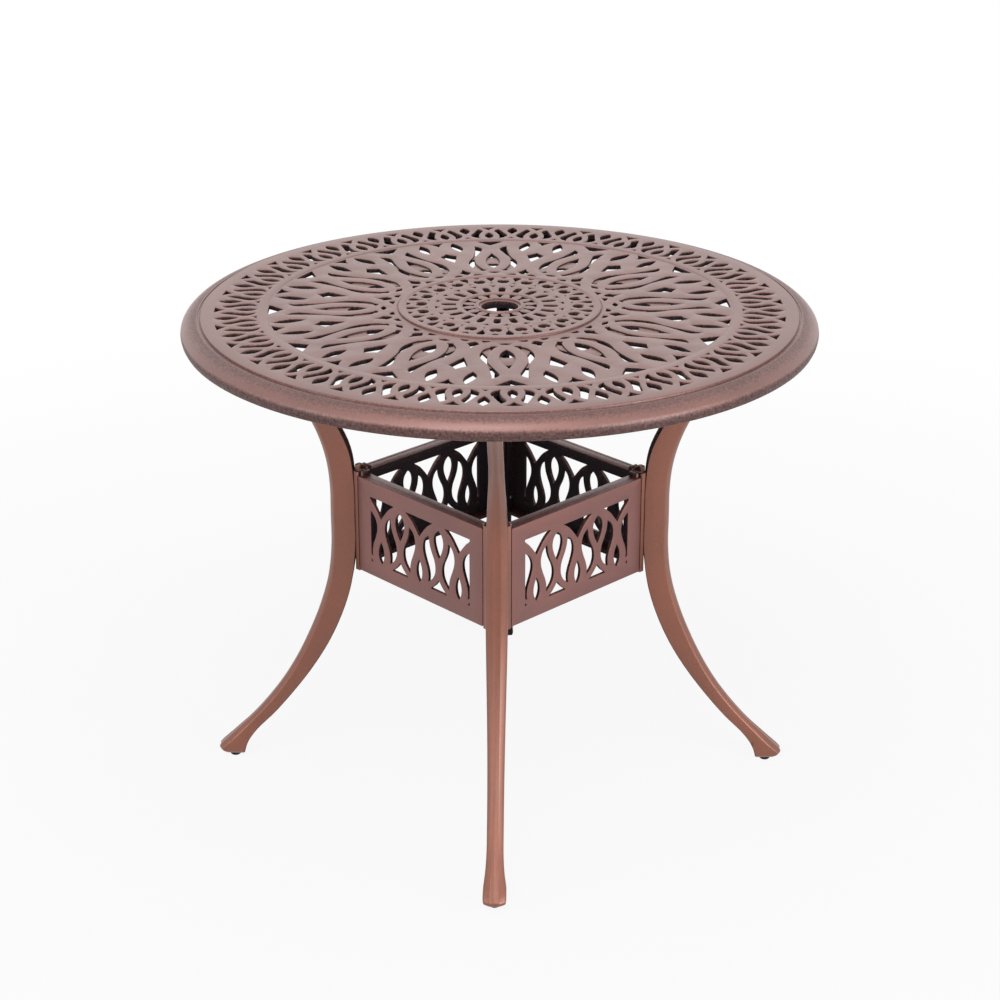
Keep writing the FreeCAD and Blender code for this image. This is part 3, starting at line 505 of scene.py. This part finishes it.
class Field:
    """A shader socket whose Python operators add the nodes that work the expression out."""

    def __init__(self, tree, socket=None):
        self.tree = tree
        self.socket = socket

    def node(self, kind, output=0, settings=None, **inputs):
        """Adds a node of a type: its settings first, then a value or link for each of its inputs.

        An input goes by its name, with underscores for spaces, or by i and its number.
        """
        made = self.tree.nodes.new(kind)
        for key, value in (settings or {}).items():
            setattr(made, key, value)
        for key, value in inputs.items():
            numbered = key[0] == "i" and key[1:].isdigit()
            spot = made.inputs[int(key[1:]) if numbered else key.replace("_", " ")]
            if isinstance(value, Field):
                self.tree.links.new(value.socket, spot)
            else:
                spot.default_value = value
        return Field(self.tree, made.outputs[output])

    def math(self, operation, first, second):
        """A Math node on two fields or numbers."""
        return self.node("ShaderNodeMath", settings={"operation": operation}, i0=first, i1=second)

    def __add__(self, other):
        return self.math("ADD", self, other)

    __radd__ = __add__

    def __sub__(self, other):
        return self.math("SUBTRACT", self, other)

    def __rsub__(self, other):
        return self.math("SUBTRACT", other, self)

    def __mul__(self, other):
        return self.math("MULTIPLY", self, other)

    __rmul__ = __mul__

    def clipped(self, low, high):
        """0 at low or less, 1 at high or more, straight between."""
        return self.node("ShaderNodeMapRange", Value=self, From_Min=low, From_Max=high)

    def blend(self, first, second):
        """The first colour where this value is 0 and the second where it is 1."""
        settings = {"data_type": "RGBA"}
        return self.node("ShaderNodeMix", output=2, settings=settings, i0=self, i6=first, i7=second)

    def noise(self, scale, detail=2.0, rough=0.5):
        """Cloudy noise of about 0.5, with scale bumps to a metre, on this position."""
        return self.node("ShaderNodeTexNoise", Vector=self, Scale=scale, Detail=detail, Roughness=rough)


def new_material(name):
    """An empty material: the material, the position on the piece as a field, and its surface shader."""
    material = bpy.data.materials.new(name)
    material.use_nodes = True
    tree = material.node_tree
    place = Field(tree).node("ShaderNodeTexCoord", output="Object")
    return material, place, tree.nodes["Principled BSDF"]


def link(field, shader, name):
    """Joins a field to a named input of the shader."""
    field.tree.links.new(field.socket, shader.inputs[name])


def tinted(colour, factor=1.0):
    """A colour made lighter or darker by a factor, opaque and no part over 1."""
    return tuple(min(1.0, part * factor) for part in colour[:3]) + (1.0,)


def bronze_coat(name, colour):
    """Satin bronze powder coat: metal fleck, soft cloudy tone, fine orange-peel surface.

    Base colour = coat colour from 0.76 to 1.22 with clouds 110 mm and mottling 3 mm wide, then flecks
    under a millimetre up to 1.5 times as light. Where the share isn't rubbed it is the dark coat, with the
    border between them frayed by the mottling. The share is partly real rub-through and partly painted
    light: painted shade on faces turned from the lamps and a painted highlight on the rim's bulge.
    Rubbed coat is smoother and varnished.
    """
    material, place, shader = new_material(name)
    cloud = place.noise(9.0, 3.0).clipped(0.3, 0.7)
    mottle = place.noise(300.0, 3.0, 0.6).clipped(0.3, 0.7)
    fleck = place.noise(1500.0, 1.0).clipped(0.56, 0.7)
    # Share read from the mesh: partly real rub-through, partly painted shade and painted highlight
    rubbed = place.node("ShaderNodeAttribute", output=2, settings={"attribute_name": "rubbed"})
    rub_and_light_share = (rubbed + mottle * 0.3 - 0.15).clipped(0.15, 0.85)
    tone = (cloud * 0.5 + mottle * 0.5).blend(tinted(colour, 0.76), tinted(colour, 1.22))
    bronze = (fleck * 0.55).blend(tone, tinted(colour, 1.5))
    # Dark coat where the share is low, which is painted shade as well as the coat's dark base
    link(rub_and_light_share.blend(tinted(finish().dark_coat_and_shade), bronze), shader, "Base Color")
    link(mottle * 0.10 - fleck * 0.06 - rub_and_light_share * 0.3 + (finish().roughness + 0.3), shader, "Roughness")
    link(rub_and_light_share * finish().varnish, shader, "Coat Weight")
    peel = place.noise(700.0, 2.0)
    bump = place.node("ShaderNodeBump", Strength=0.25, Distance=0.0003, Height=peel)
    link(bump, shader, "Normal")
    shader.inputs["Metallic"].default_value = finish().metallic
    shader.inputs["Coat Roughness"].default_value = 0.4
    shader.inputs["Coat IOR"].default_value = 1.6
    return material


def dark_steel(name):
    """Darkened zinc-plated steel with small rust-brown stains, which are rougher."""
    material, place, shader = new_material(name)
    stain = place.noise(420.0, 3.0).clipped(0.52, 0.72)
    link(stain.blend(tinted(finish().steel), tinted(finish().rust)), shader, "Base Color")
    link(stain * 0.25 + 0.34, shader, "Roughness")
    shader.inputs["Metallic"].default_value = 0.9
    return material


def black_plastic(name):
    """Matt black plastic with a fine moulded grain and scuffs of a greyer black."""
    material, place, shader = new_material(name)
    scuff = place.noise(300.0, 3.0).clipped(0.55, 0.8)
    link(scuff.blend(tinted(finish().plastic), tinted(finish().plastic, 2.2)), shader, "Base Color")
    link(scuff * 0.2 + 0.6, shader, "Roughness")
    shader.inputs["Specular IOR Level"].default_value = 0.2
    bump = place.node("ShaderNodeBump", Strength=0.3, Distance=0.0002, Height=place.noise(2500.0))
    link(bump, shader, "Normal")
    return material


def material_of(slot):
    """The slot's material, made once."""
    name = slot + "_finish"
    return bpy.data.materials.get(name) or FINISHES[slot](name)


FINISHES = {
    "cast_top": lambda name: bronze_coat(name, finish().top),
    "cast_leg": lambda name: bronze_coat(name, finish().leg),
    "cast_panel": lambda name: bronze_coat(name, finish().panel),
    "bolt_steel": dark_steel,
    "glide_plastic": black_plastic,
}


# Pieces

def tabletop(sizes):
    """The top casting: strips turned about the axis, and a pierced plate in each gap between them.

    A strip's points are radii in millimetres and heights over the plane of the top. Each strip runs
    inwards over the top side; the first goes on round the rim and the last down the hole's collar.
    """
    shell = Shell()
    level = sizes.surface_height / MM
    under = -sizes.plate_thickness / MM
    rise = sizes.medallion_rise / MM
    rim = sizes.top_radius / MM
    bore = sizes.hole_radius / MM
    roll = flowing([(rim, -21.7), (rim - 1.2, -16.2), (rim - 4.8, -11.4), (rim - 11, -6.7),
                    (rim - 17.4, -4.0), (rim - 24.2, -3.0)], 3)
    edge = [(412, under), (430, under), (437, under - 1.5), (446, -13.5), (451, -20), (451.6, -25),
            (449.4, -30.2), (450.4, -31.4), (453, -31.5), (454.4, -30.6), (456, -27.4), (456.8, -24)]
    edge += roll.tolist()
    edge += [(432.7, -4.3), (429.4, -4.3), (428.8, -3.9), (428.4, -1.1), (427.5, -0.3), (426, 0), (412, 0)]
    band_to_petals = [(345.4, 0), (337.2, 0), (336.4, -0.3), (336, -0.7), (335.6, -0.7)]
    petals_to_rosette = [(150.6, -0.7), (148.2, -0.7), (147.6, -1.5), (146.6, -1.5), (146.3, rise - 0.8),
                         (145.6, rise - 0.1), (144.8, rise), (137.8, rise), (137.3, rise - 0.2),
                         (137, rise - 0.6), (136.6, rise - 0.6)]
    rosette_to_lattice = [(61.4, rise - 0.6), (56.4, rise - 0.6), (55.7, rise - 0.8), (55.4, rise - 1.5),
                          (55.2, rise - 1.5)]
    hole = [(35.2, rise - 1.5), (34.9, rise - 0.8), (34.2, rise - 0.1), (33.4, rise), (31.4, rise),
            (30.6, rise - 0.3), (30.2, rise - 1), (30.1, rise - 2.6), (27.4, rise - 2.8), (26.8, rise - 3.1),
            (bore, rise - 3.8), (bore, -11.6), (bore + 0.8, -12.4), (bore + 6.2, -12.4), (bore + 7, -11.6),
            (bore + 7, under), (35.2, under)]
    # Each plate's height, the radius of its openings' lips, and their loops
    plates = [
        (0.0, 1.4, ring_loops(*BAND, 3)),
        (-0.7, 1.2, ring_loops(*PETALS, 3)),
        (rise - 0.6, 0.9, ring_loops(*ROSETTE, 2)),
        (rise - 1.5, 0.8, ring_loops(*LATTICE, 2)),
    ]
    between = [band_to_petals, petals_to_rosette, rosette_to_lattice]
    strips = [edge, *between, hole]
    first, *middle, last = [shell.lathe([(r, z + level) for r, z in strip]) for strip in strips]
    unders = [shell.lathe([(strip[-1][0], level + under), (strip[0][0], level + under)]) for strip in between]
    # Pairs of a ring on top and one underneath, outside and inside each plate
    outer_rings = [(first[-1], first[0])] + [(top[-1], low[0]) for top, low in zip(middle, unders)]
    inner_rings = [(top[0], low[-1]) for top, low in zip(middle, unders)] + [(last[0], last[-1])]
    for (height, lip, loops), outer, inner in zip(plates, outer_rings, inner_rings):
        holes = pierce(shell, loops, (level + height) * MM, (level + under) * MM, lip * MM)
        shell.fill(outer, inner, holes)
    petal_webs(shell, level, under)
    for centre in bolt_places(sizes):
        boss(shell, centre, level)
    shell.piece("tabletop_casting", "cast_top", "table", ["table_top"], top_rub_and_painted_light(sizes))


def petal_webs(shell, level, under):
    """Sunk webs between the petals' strands: upright prisms in their places round the axis."""
    half_web = np.array(PETAL_WEB_ON_AXIS)
    plans = [np.concatenate([half_web, mirrored(half_web)[1:-1]])]
    for web in PETAL_WEBS_BESIDE_AXIS:
        plans += [np.array(web), mirrored(np.array(web))]
    repeats, turn = PETALS[1:3]
    for plan in plans:
        for repeat in range(repeats):
            angle = np.radians(turn + 360 / repeats * repeat + plan[:, 0])
            corners = np.stack([plan[:, 1] * np.sin(angle), -plan[:, 1] * np.cos(angle)], -1)
            prism(shell, corners, level + under + WEB_EDGE, level - WEB_DROP, WEB_EDGE)


def bolt_places(sizes):
    """Centres of the eight bolts that hold the legs, in metres: two to a leg."""
    reach, spread = sizes.bolt_reach, sizes.bolt_spread
    places = []
    for turn in np.radians(90 * np.arange(4)):
        cos, sin = math.cos(turn), math.sin(turn)
        places += [(reach * cos - side * spread * sin, reach * sin + side * spread * cos) for side in (-1, 1)]
    return places


def boss(shell, centre, level):
    """A round boss under the border, with a filleted root and a chamfered foot."""
    profile = [(0, BOSS_FOOT), (7.9, BOSS_FOOT), (8.5, 17.2), (8.8, 10.4), (9.6, 8.8), (11.5, 7.9), (0, 6)]
    shell.lathe([(radius, level - drop) for radius, drop in profile], 32, centre)


def leg(sizes, name, turn):
    """One leg: sections at flowing stations, from the pad to the sole, and its pad and ears.

    A section lies across the leg, from the outer edge to the inner edge. Its half goes over the
    rounded face, down the side, round the back's edge and into the channel, and is mirrored.
    """
    shell = Shell()
    level = sizes.surface_height / MM
    weights = (1, 1, 1, 1, 2, 1)
    rows = flowing(np.array(LEG_STATIONS, float) * weights, 5) / weights
    outer = np.stack([rows[:, 0], level - rows[:, 1]], -1)
    inner = np.stack([rows[:, 2], level - rows[:, 3]], -1)
    inward = inner - outer
    depth = np.linalg.norm(inward, axis=1, keepdims=True)
    inward = inward / depth
    half = rows[:, 4:5] / 2
    channel = np.clip(rows[:, 5:6], 0, None)
    face = (half * np.array(FACE_ACROSS), np.array(FACE_BEVEL) * np.minimum(1, depth / FULL_BEVEL))
    side_and_back = [
        (half, depth * 0.55), (half, depth - 1.2), (half - 0.35, depth - 0.35), (half - 1.1, depth),
        (half - 3.6, depth), (half - 4.3, depth - np.minimum(channel, 0.8)), (half - 5.2, depth - channel),
        (0 * half, depth - channel),
    ]
    wide, deep = (np.concatenate(columns, 1) for columns in zip(face, *side_and_back))
    across = np.concatenate([-wide, wide[:, -2:0:-1]], 1)
    into = np.concatenate([deep, deep[:, -2:0:-1]], 1)
    x = outer[:, :1] + inward[:, :1] * into
    z = outer[:, 1:] + inward[:, 1:] * into
    ids = shell.skin(np.stack([x, across, z], -1)[None] * MM)[0]
    shell.cap(ids[0], flip=True)
    shell.cap(ids[-1])
    # The bolting pad, against the bosses of the top
    prism(shell, rounded_rectangle(389, 431, -31, 31, 6), level - PAD_FOOT, level - BOSS_FOOT, 1.2)
    for side in (-1, 1):
        ear(shell, sizes, level, side)
    angle = math.radians(turn)
    shell.turn(0, angle)
    shell.piece("leg_casting_" + name, "cast_leg", "table", ["leg_" + name], leg_rub_and_painted_shade(angle))


def prism(shell, corners, bottom, top, edge):
    """An upright prism with edges rounded in two steps, from its plan's corners in millimetres."""
    loop = counterclockwise(np.array(corners, float)[None])
    part = edge * 0.3
    levels = [(edge, bottom), (part, bottom + part), (0, bottom + edge)]
    levels += [(0, top - edge), (part, top - part), (edge, top)]
    rings = [np.dstack([widened(loop, -inset), np.full(loop.shape[:2], height)]) for inset, height in levels]
    ids = shell.skin(np.stack(rings, 1) * MM)[0]
    shell.cap(ids[0], flip=True)
    shell.cap(ids[-1])


def rounded_rectangle(left, right, low, high, radius, steps=5):
    """Outline of a rectangle with a quarter circle of a radius at each corner, counterclockwise."""
    turn = np.linspace(0, math.pi / 2, steps)
    low, high, left, right = low + radius, high - radius, left + radius, right - radius
    arcs = []
    for quarter, (x, y) in enumerate([(right, high), (left, high), (left, low), (right, low)]):
        angle = turn + quarter * math.pi / 2
        arcs.append(np.stack([x + radius * np.cos(angle), y + radius * np.sin(angle)], -1))
    return np.concatenate(arcs)


def ear(shell, sizes, level, side):
    """The flange behind a leg that one panel's end is bolted to.

    It is drawn beside a panel that faces along x, then turned. Its plan's points count from the end
    of the panel's outer face: towards the table's axis, and along. They leave a groove by that face.
    """
    start = shell.count
    reach, end = sizes.panel_reach / MM, sizes.panel_half / MM
    corners = [(0, 1.6), (0, 9), (5, 14), (7.5, 5), (21, 5), (21, 0.1), (3.5, 0.1)]
    plan = [(reach - inward, -side * (end + along)) for inward, along in corners]
    prism(shell, plan, level - EAR_FOOT, level - EAR_TOP, 0.7)
    shell.turn(start, math.radians(45 * side))


def panel(sizes, name, turn):
    """One side panel: pierced plate, flanges along all edges and the end tabs.

    It is drawn lying, with its outer face up, and is then stood up and moved out to its reach.
    """
    shell = Shell()
    level = sizes.surface_height / MM
    half, reach = sizes.panel_half / MM, sizes.panel_reach / MM
    high, low = level - PANEL_TOP, level - PANEL_FOOT
    front, back = 0.0, -6.0 * MM
    edge_loop = rounded_rectangle(-half, half, low, high, 2.5)[::-1][None] * MM
    rings = pierce(shell, [edge_loop], front, back, 1.1 * MM)
    holes = pierce(shell, panel_loops(low + 20.8, high - 25), front, back, 1.2 * MM)
    shell.fill(rings[0], None, holes)
    for flange in ((-half + 0.5, half - 0.5, high - 5.4, high - 0.2),
                   (-half + 0.5, half - 0.5, low + 0.2, low + 5.4),
                   (-half + 0.2, -half + 5.2, low + 0.2, high + 6),
                   (half - 5.2, half - 0.2, low + 0.2, high + 6)):
        prism(shell, rounded_rectangle(*flange, 2.2, 4), -21, -5, 1.0)
    shell.change(0, lambda points: points[:, [2, 0, 1]] + (reach * MM, 0, 0))
    angle = math.radians(turn)
    shell.turn(0, angle)
    shell.piece("panel_casting_" + name, "cast_panel", "table", ["panel_" + name], panel_rub_and_painted_shade(angle))


def panel_loops(low, high):
    """The panel's openings in its own plane: along the panel, and up, in metres."""
    tall = high - low
    scale = np.array([PANEL_REPEAT, tall])
    loops = []
    for offsets, shapes, which in PANEL_OPENINGS:
        for runs in shapes:
            versions = outlines(runs, scale, 3)
            for shape in [versions[at] for at in which]:
                for offset in offsets:
                    along = (shape[:, 0] + offset) * PANEL_REPEAT
                    along = np.clip(along, -PANEL_WINDOW_HALF, PANEL_WINDOW_HALF)
                    up = low + shape[:, 1] * tall
                    loops.append(counterclockwise(np.stack([along, up], -1)[None] * MM))
    return loops


def hexagon_bolt(shell, head, height, shank, length):
    """A hexagon bolt, head down, seated at zero: chamfered head, washer and shank with thread ridges.

    Its sizes are the head's radius and height, and the shank's radius and length, in millimetres.
    """
    shell.lathe([(0, -height), (head * 0.82, -height), (head * 0.98, -height * 0.84), (head, -height * 0.8),
                 (head, -1.2), (head * 0.96, -1.0), (0, -1.0)], 6)
    shell.lathe([(0, -1.3), (head * 1.12, -1.3), (head * 1.16, -1.1), (head * 1.16, 0), (0, 0)], 32)
    ridges = [(shank - 0.35 * (at % 2), at * 0.75) for at in range(int(length / 0.75))]
    shell.lathe([(0, -0.5)] + ridges + [(shank * 0.7, length), (0, length)], 20)


def leg_bolts(sizes):
    """Eight bolts up through the legs' pads."""
    shell = Shell()
    for centre in bolt_places(sizes):
        seat = (*centre, sizes.surface_height - PAD_FOOT * MM)
        start = shell.count
        hexagon_bolt(shell, head=7.5, height=5.3, shank=4.0, length=17.5)
        shell.change(start, lambda points: points + seat)
    shell.piece("leg_bolts_hexagon", "bolt_steel", "table", ["leg_bolts"])


def panel_bolts(sizes):
    """Sixteen bolts through the ears into the panels' ends."""
    shell = Shell()
    reach = sizes.panel_reach - 13.5 * MM
    seat = sizes.panel_half + 5 * MM

    def laid(upright, hand, drop):
        """Lays a bolt along the panel: its length runs from one end, by hand, towards the middle."""
        x, y, z = upright.T
        return np.stack([x * hand + reach, hand * (seat - z), y + sizes.surface_height - drop * MM], -1)

    for turn in (-45, 45, 135, 225):
        for hand in (-1, 1):
            for drop in PANEL_BOLT_DROPS:
                start = shell.count
                hexagon_bolt(shell, head=5.2, height=4.0, shank=3.0, length=11.5)
                shell.change(start, lambda points: laid(points, hand, drop))
                shell.turn(start, math.radians(turn))
    shell.piece("panel_bolts_hexagon", "bolt_steel", "table", ["panel_bolts"])


def glide(sizes, name, turn):
    """A domed plastic glide and its screw with thread ridges, under one foot."""
    centre = (sizes.glide_reach, 0)
    angle = math.radians(turn)
    dome = Shell()
    bulge = flowing([(6.0, 0.1), (7.4, 0.9), (8.5, 2.8), (8.7, 5.4), (8.4, 7.2), (7.6, 7.7)], 3)
    dome.lathe([(0, 0), (4.8, 0)] + bulge.tolist() + [(0, 7.7)], 48, centre)
    dome.turn(0, angle)
    dome.piece("glide_dome_" + name, "glide_plastic", "glide_" + name, ["glide_pad_" + name])
    screw = Shell()
    ridges = [(4.0 - 0.45 * (at % 2), 5.9 + at * 0.625) for at in range(31)]
    screw.lathe([(0, 5.4), (3.6, 5.4)] + ridges + [(3.0, 25.7), (0, 25.7)], 24, centre)
    screw.turn(0, angle)
    screw.piece("glide_screw_" + name, "bolt_steel", "glide_" + name, ["glide_stem_" + name])


# Stage

def stage(look):
    """A white floor that keeps the table's shadow, five soft lamps, pale surroundings and the camera."""
    white_floor(look)
    surroundings(look)
    lamps(look)
    photo_camera()
    bpy.context.scene.view_settings.view_transform = "Standard"


def white_floor(look):
    """A square floor 60 m wide."""
    mesh = bpy.data.meshes.new("floor")
    reach = 30.0
    corners = [(-reach, -reach, 0), (reach, -reach, 0), (reach, reach, 0), (-reach, reach, 0)]
    mesh.from_pydata(corners, [], [(0, 1, 2, 3)])
    floor = bpy.data.objects.new("floor", mesh)
    bpy.context.scene.collection.objects.link(floor)
    floor.data.materials.append(floor_finish(look))


def lamps(look):
    """Round soft lamps that shine on the table's middle."""
    for name, (place, width) in LAMPS.items():
        lamp = bpy.data.lights.new(name + "_lamp", "AREA")
        lamp.shape = "DISK"
        lamp.size = width
        lamp.energy = getattr(look, name + "_power")
        holder = bpy.data.objects.new(name + "_lamp", lamp)
        holder.location = place
        holder.rotation_euler = (Vector(LAMP_TARGET) - Vector(place)).to_track_quat("-Z", "Y").to_euler()
        bpy.context.scene.collection.objects.link(holder)


def photo_camera():
    """The camera at the photo's angle, shifted as far as the photo's framing needs."""
    lens = bpy.data.cameras.new("photo_camera")
    lens.sensor_width = SENSOR_WIDTH
    lens.lens = FOCAL_LENGTH * SENSOR_WIDTH
    lens.shift_x = 0.0003
    lens.shift_y = -0.1
    camera = bpy.data.objects.new("photo_camera", lens)
    camera.location = CAMERA_PLACE
    camera.rotation_euler = (math.radians(90 - LOOKS_DOWN), 0.0, math.radians(TURNS_LEFT))
    bpy.context.scene.collection.objects.link(camera)
    bpy.context.scene.camera = camera


def seen_directly(tree):
    """1 for what the camera, a gloss or a clear part shows, and 0 for what lights the object."""
    camera, gloss, clear = (Field(tree).node("ShaderNodeLightPath", output=name)
                            for name in ("Is Camera Ray", "Is Glossy Ray", "Is Transmission Ray"))
    return (camera + gloss + clear).clipped(0, 1)


def floor_finish(look):
    """Matt white floor: its own glow shows as white, and a share of plain shading keeps the shadow.

    The share of glow is the setting within 0.5 m of the table's foot, and rises to 1 at 2.2 m.
    """
    material, place, shader = new_material("white_floor")
    shader.inputs["Base Color"].default_value = (0.8, 0.8, 0.8, 1)
    shader.inputs["Roughness"].default_value = 0.9
    shader.inputs["Specular IOR Level"].default_value = 0.1
    tree = material.node_tree
    glow = place.node("ShaderNodeEmission")
    shaded = Field(tree, shader.outputs[0])
    distance = place.node("ShaderNodeVectorMath", output="Value", settings={"operation": "LENGTH"}, i0=place)
    away = distance.clipped(0.5, 2.2)
    share = seen_directly(tree) * (away * (1 - look.floor_glow) + look.floor_glow)
    mixed = place.node("ShaderNodeMixShader", i0=share, i1=shaded, i2=glow)
    tree.links.new(mixed.socket, tree.nodes["Material Output"].inputs["Surface"])
    return material


def surroundings(look):
    """White to the eye, and pale grey light on the object."""
    world = bpy.data.worlds.new("surroundings")
    bpy.context.scene.world = world
    world.use_nodes = True
    tree = world.node_tree
    background = tree.nodes["Background"]
    background.inputs["Color"].default_value = (1, 1, 1, 1)
    strength = seen_directly(tree) * (1 - look.sky_light) + look.sky_light
    tree.links.new(strength.socket, background.inputs["Strength"])


# Settings

def metres(name, description, default):
    """A setting in metres."""
    return FloatProperty(name=name, description=description, default=default, unit="LENGTH")


def tint(name, description, default):
    """A setting that is a colour."""
    return FloatVectorProperty(name=name, description=description, default=default, subtype="COLOR", size=3,
                               min=0, max=1)


def fraction(name, description, default):
    """A setting from 0 to 1."""
    return FloatProperty(name=name, description=description, default=default, subtype="FACTOR", min=0, max=1)


def watts(name, description, default):
    """A setting in watts."""
    return FloatProperty(name=name, description=description, default=default, unit="POWER")


class TableSizes(bpy.types.PropertyGroup):
    """Sizes of the table that its pieces are worked out from."""

    surface_height: metres("Surface height", "Floor to the plane of the top",
                           MOUNTS["table_surface"]["pos_m"][2])
    top_radius: metres("Top radius", "Axis to the widest line of the rim", 0.45705)
    plate_thickness: metres("Plate thickness", "Thickness of the pierced plate", 0.008)
    medallion_rise: metres("Medallion rise", "Height of the medallion above the plate", 0.0018)
    hole_radius: metres("Umbrella hole radius", "Radius of the bore for the pole",
                        MOUNTS["umbrella_hole"]["dims"]["r_mm"] * MM)
    bolt_reach: metres("Bolt reach", "Axis to the leg bolts, along a leg", 0.419)
    bolt_spread: metres("Bolt spread", "Leg bolts to the middle of the leg", 0.020)
    panel_reach: metres("Panel reach", "Axis to the outer face of a side panel", 0.1626)
    panel_half: metres("Panel half length", "Half the length of a side panel", 0.1333)
    glide_reach: metres("Glide reach", "Axis to the middle of a glide", -MOUNTS["glide_sole"]["pos_m"][1])


class TableFinish(bpy.types.PropertyGroup):
    """Colours of the coat, the bolts and the glides."""

    top: tint("Top coat", "Coat colour of the top", (0.225, 0.098, 0.082))
    leg: tint("Leg coat", "Coat colour of the legs", (0.205, 0.055, 0.023))
    panel: tint("Panel coat", "Coat colour of the side panels", (0.180, 0.050, 0.038))
    # Near-black coat, which also serves as painted shade on faces turned from the lamps
    dark_coat_and_shade: tint("Dark coat", "Coat in hollows and on hidden faces", (0.020, 0.012, 0.014))
    steel: tint("Bolt steel", "Colour of the bolts", (0.20, 0.18, 0.17))
    rust: tint("Rust", "Colour of the stains on the bolts", (0.11, 0.07, 0.05))
    plastic: tint("Glide plastic", "Colour of the glides", (0.012, 0.012, 0.013))
    roughness: fraction("Coat roughness", "Roughness of the satin coat", 0.48)
    varnish: fraction("Clear coat", "Weight of the clear coat on rubbed bronze", 1.0)
    metallic: fraction("Coat metal", "Share of metal fleck in the coat", 0.75)


class TableLook(bpy.types.PropertyGroup):
    """Lamps and surroundings of the stage."""

    left_power: watts("Left lamp", "Power of the lamp at the left", 20.0)
    right_power: watts("Right lamp", "Power of the lamp at the right", 95.0)
    front_power: watts("Front lamp", "Power of the lamp in front", 38.0)
    overhead_power: watts("Overhead lamp", "Power of the lamp above", 32.0)
    back_power: watts("Back lamp", "Power of the lamp behind", 4.0)
    sky_light: fraction("Sky light", "Strength of the surroundings on the object", 0.2)
    floor_glow: fraction("Floor glow", "Share of plain white in the floor's look", 0.9)


def finish():
    """The colours and coat settings in use."""
    return bpy.context.scene.table_finish


# Operators

class TABLE_OT_tabletop(bpy.types.Operator):
    """Make the top casting with its openwork"""

    bl_idname = "table.tabletop"
    bl_label = "Tabletop"

    def execute(self, context):
        tabletop(context.scene.table_sizes)
        return {"FINISHED"}


class TABLE_OT_legs(bpy.types.Operator):
    """Make the four curved legs"""

    bl_idname = "table.legs"
    bl_label = "Legs"

    def execute(self, context):
        for quarter, name in enumerate(SIDES):
            leg(context.scene.table_sizes, name, 90 * quarter - 90)
        return {"FINISHED"}


class TABLE_OT_panels(bpy.types.Operator):
    """Make the four openwork side panels"""

    bl_idname = "table.panels"
    bl_label = "Side panels"

    def execute(self, context):
        for quarter, name in enumerate(CORNERS):
            panel(context.scene.table_sizes, name, 90 * quarter - 45)
        return {"FINISHED"}


class TABLE_OT_bolts(bpy.types.Operator):
    """Make the bolts of the legs and panels"""

    bl_idname = "table.bolts"
    bl_label = "Bolts"

    def execute(self, context):
        leg_bolts(context.scene.table_sizes)
        panel_bolts(context.scene.table_sizes)
        return {"FINISHED"}


class TABLE_OT_glides(bpy.types.Operator):
    """Make the glides and their screws"""

    bl_idname = "table.glides"
    bl_label = "Glides"

    def execute(self, context):
        for quarter, name in enumerate(SIDES):
            glide(context.scene.table_sizes, name, 90 * quarter - 90)
        return {"FINISHED"}


class TABLE_OT_stage(bpy.types.Operator):
    """Make the floor, the lamps and the camera"""

    bl_idname = "table.stage"
    bl_label = "Stage"

    def execute(self, context):
        stage(context.scene.table_look)
        return {"FINISHED"}


class TABLE_PT_panel(bpy.types.Panel):
    """Lists the table's sizes, finishes and makers"""

    bl_label = "Umbrella table"
    bl_idname = "TABLE_PT_panel"
    bl_space_type = "VIEW_3D"
    bl_region_type = "UI"
    bl_category = "Table"

    def draw(self, context):
        layout = self.layout
        for operator in OPERATORS:
            layout.operator(operator.bl_idname)
        for group in (context.scene.table_sizes, context.scene.table_finish, context.scene.table_look):
            box = layout.box()
            for name in group.bl_rna.properties.keys():
                if name not in ("rna_type", "name"):
                    box.prop(group, name)


GROUPS = {"table_sizes": TableSizes, "table_finish": TableFinish, "table_look": TableLook}
OPERATORS = [TABLE_OT_tabletop, TABLE_OT_legs, TABLE_OT_panels, TABLE_OT_bolts, TABLE_OT_glides,
             TABLE_OT_stage]
CLASSES = [*GROUPS.values(), *OPERATORS, TABLE_PT_panel]


def register():
    """Makes the classes known, and their settings part of the scene."""
    for made in CLASSES:
        bpy.utils.register_class(made)
    for name, group in GROUPS.items():
        setattr(bpy.types.Scene, name, PointerProperty(type=group))


def unregister():
    """Undoes what register did, in the reverse order."""
    for name in GROUPS:
        delattr(bpy.types.Scene, name)
    for made in reversed(CLASSES):
        bpy.utils.unregister_class(made)


def main():
    """Registers the classes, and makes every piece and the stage."""
    register()
    for operator in OPERATORS:
        getattr(bpy.ops.table, operator.bl_idname.split(".")[1])()


if __name__ == "__main__":
    main()
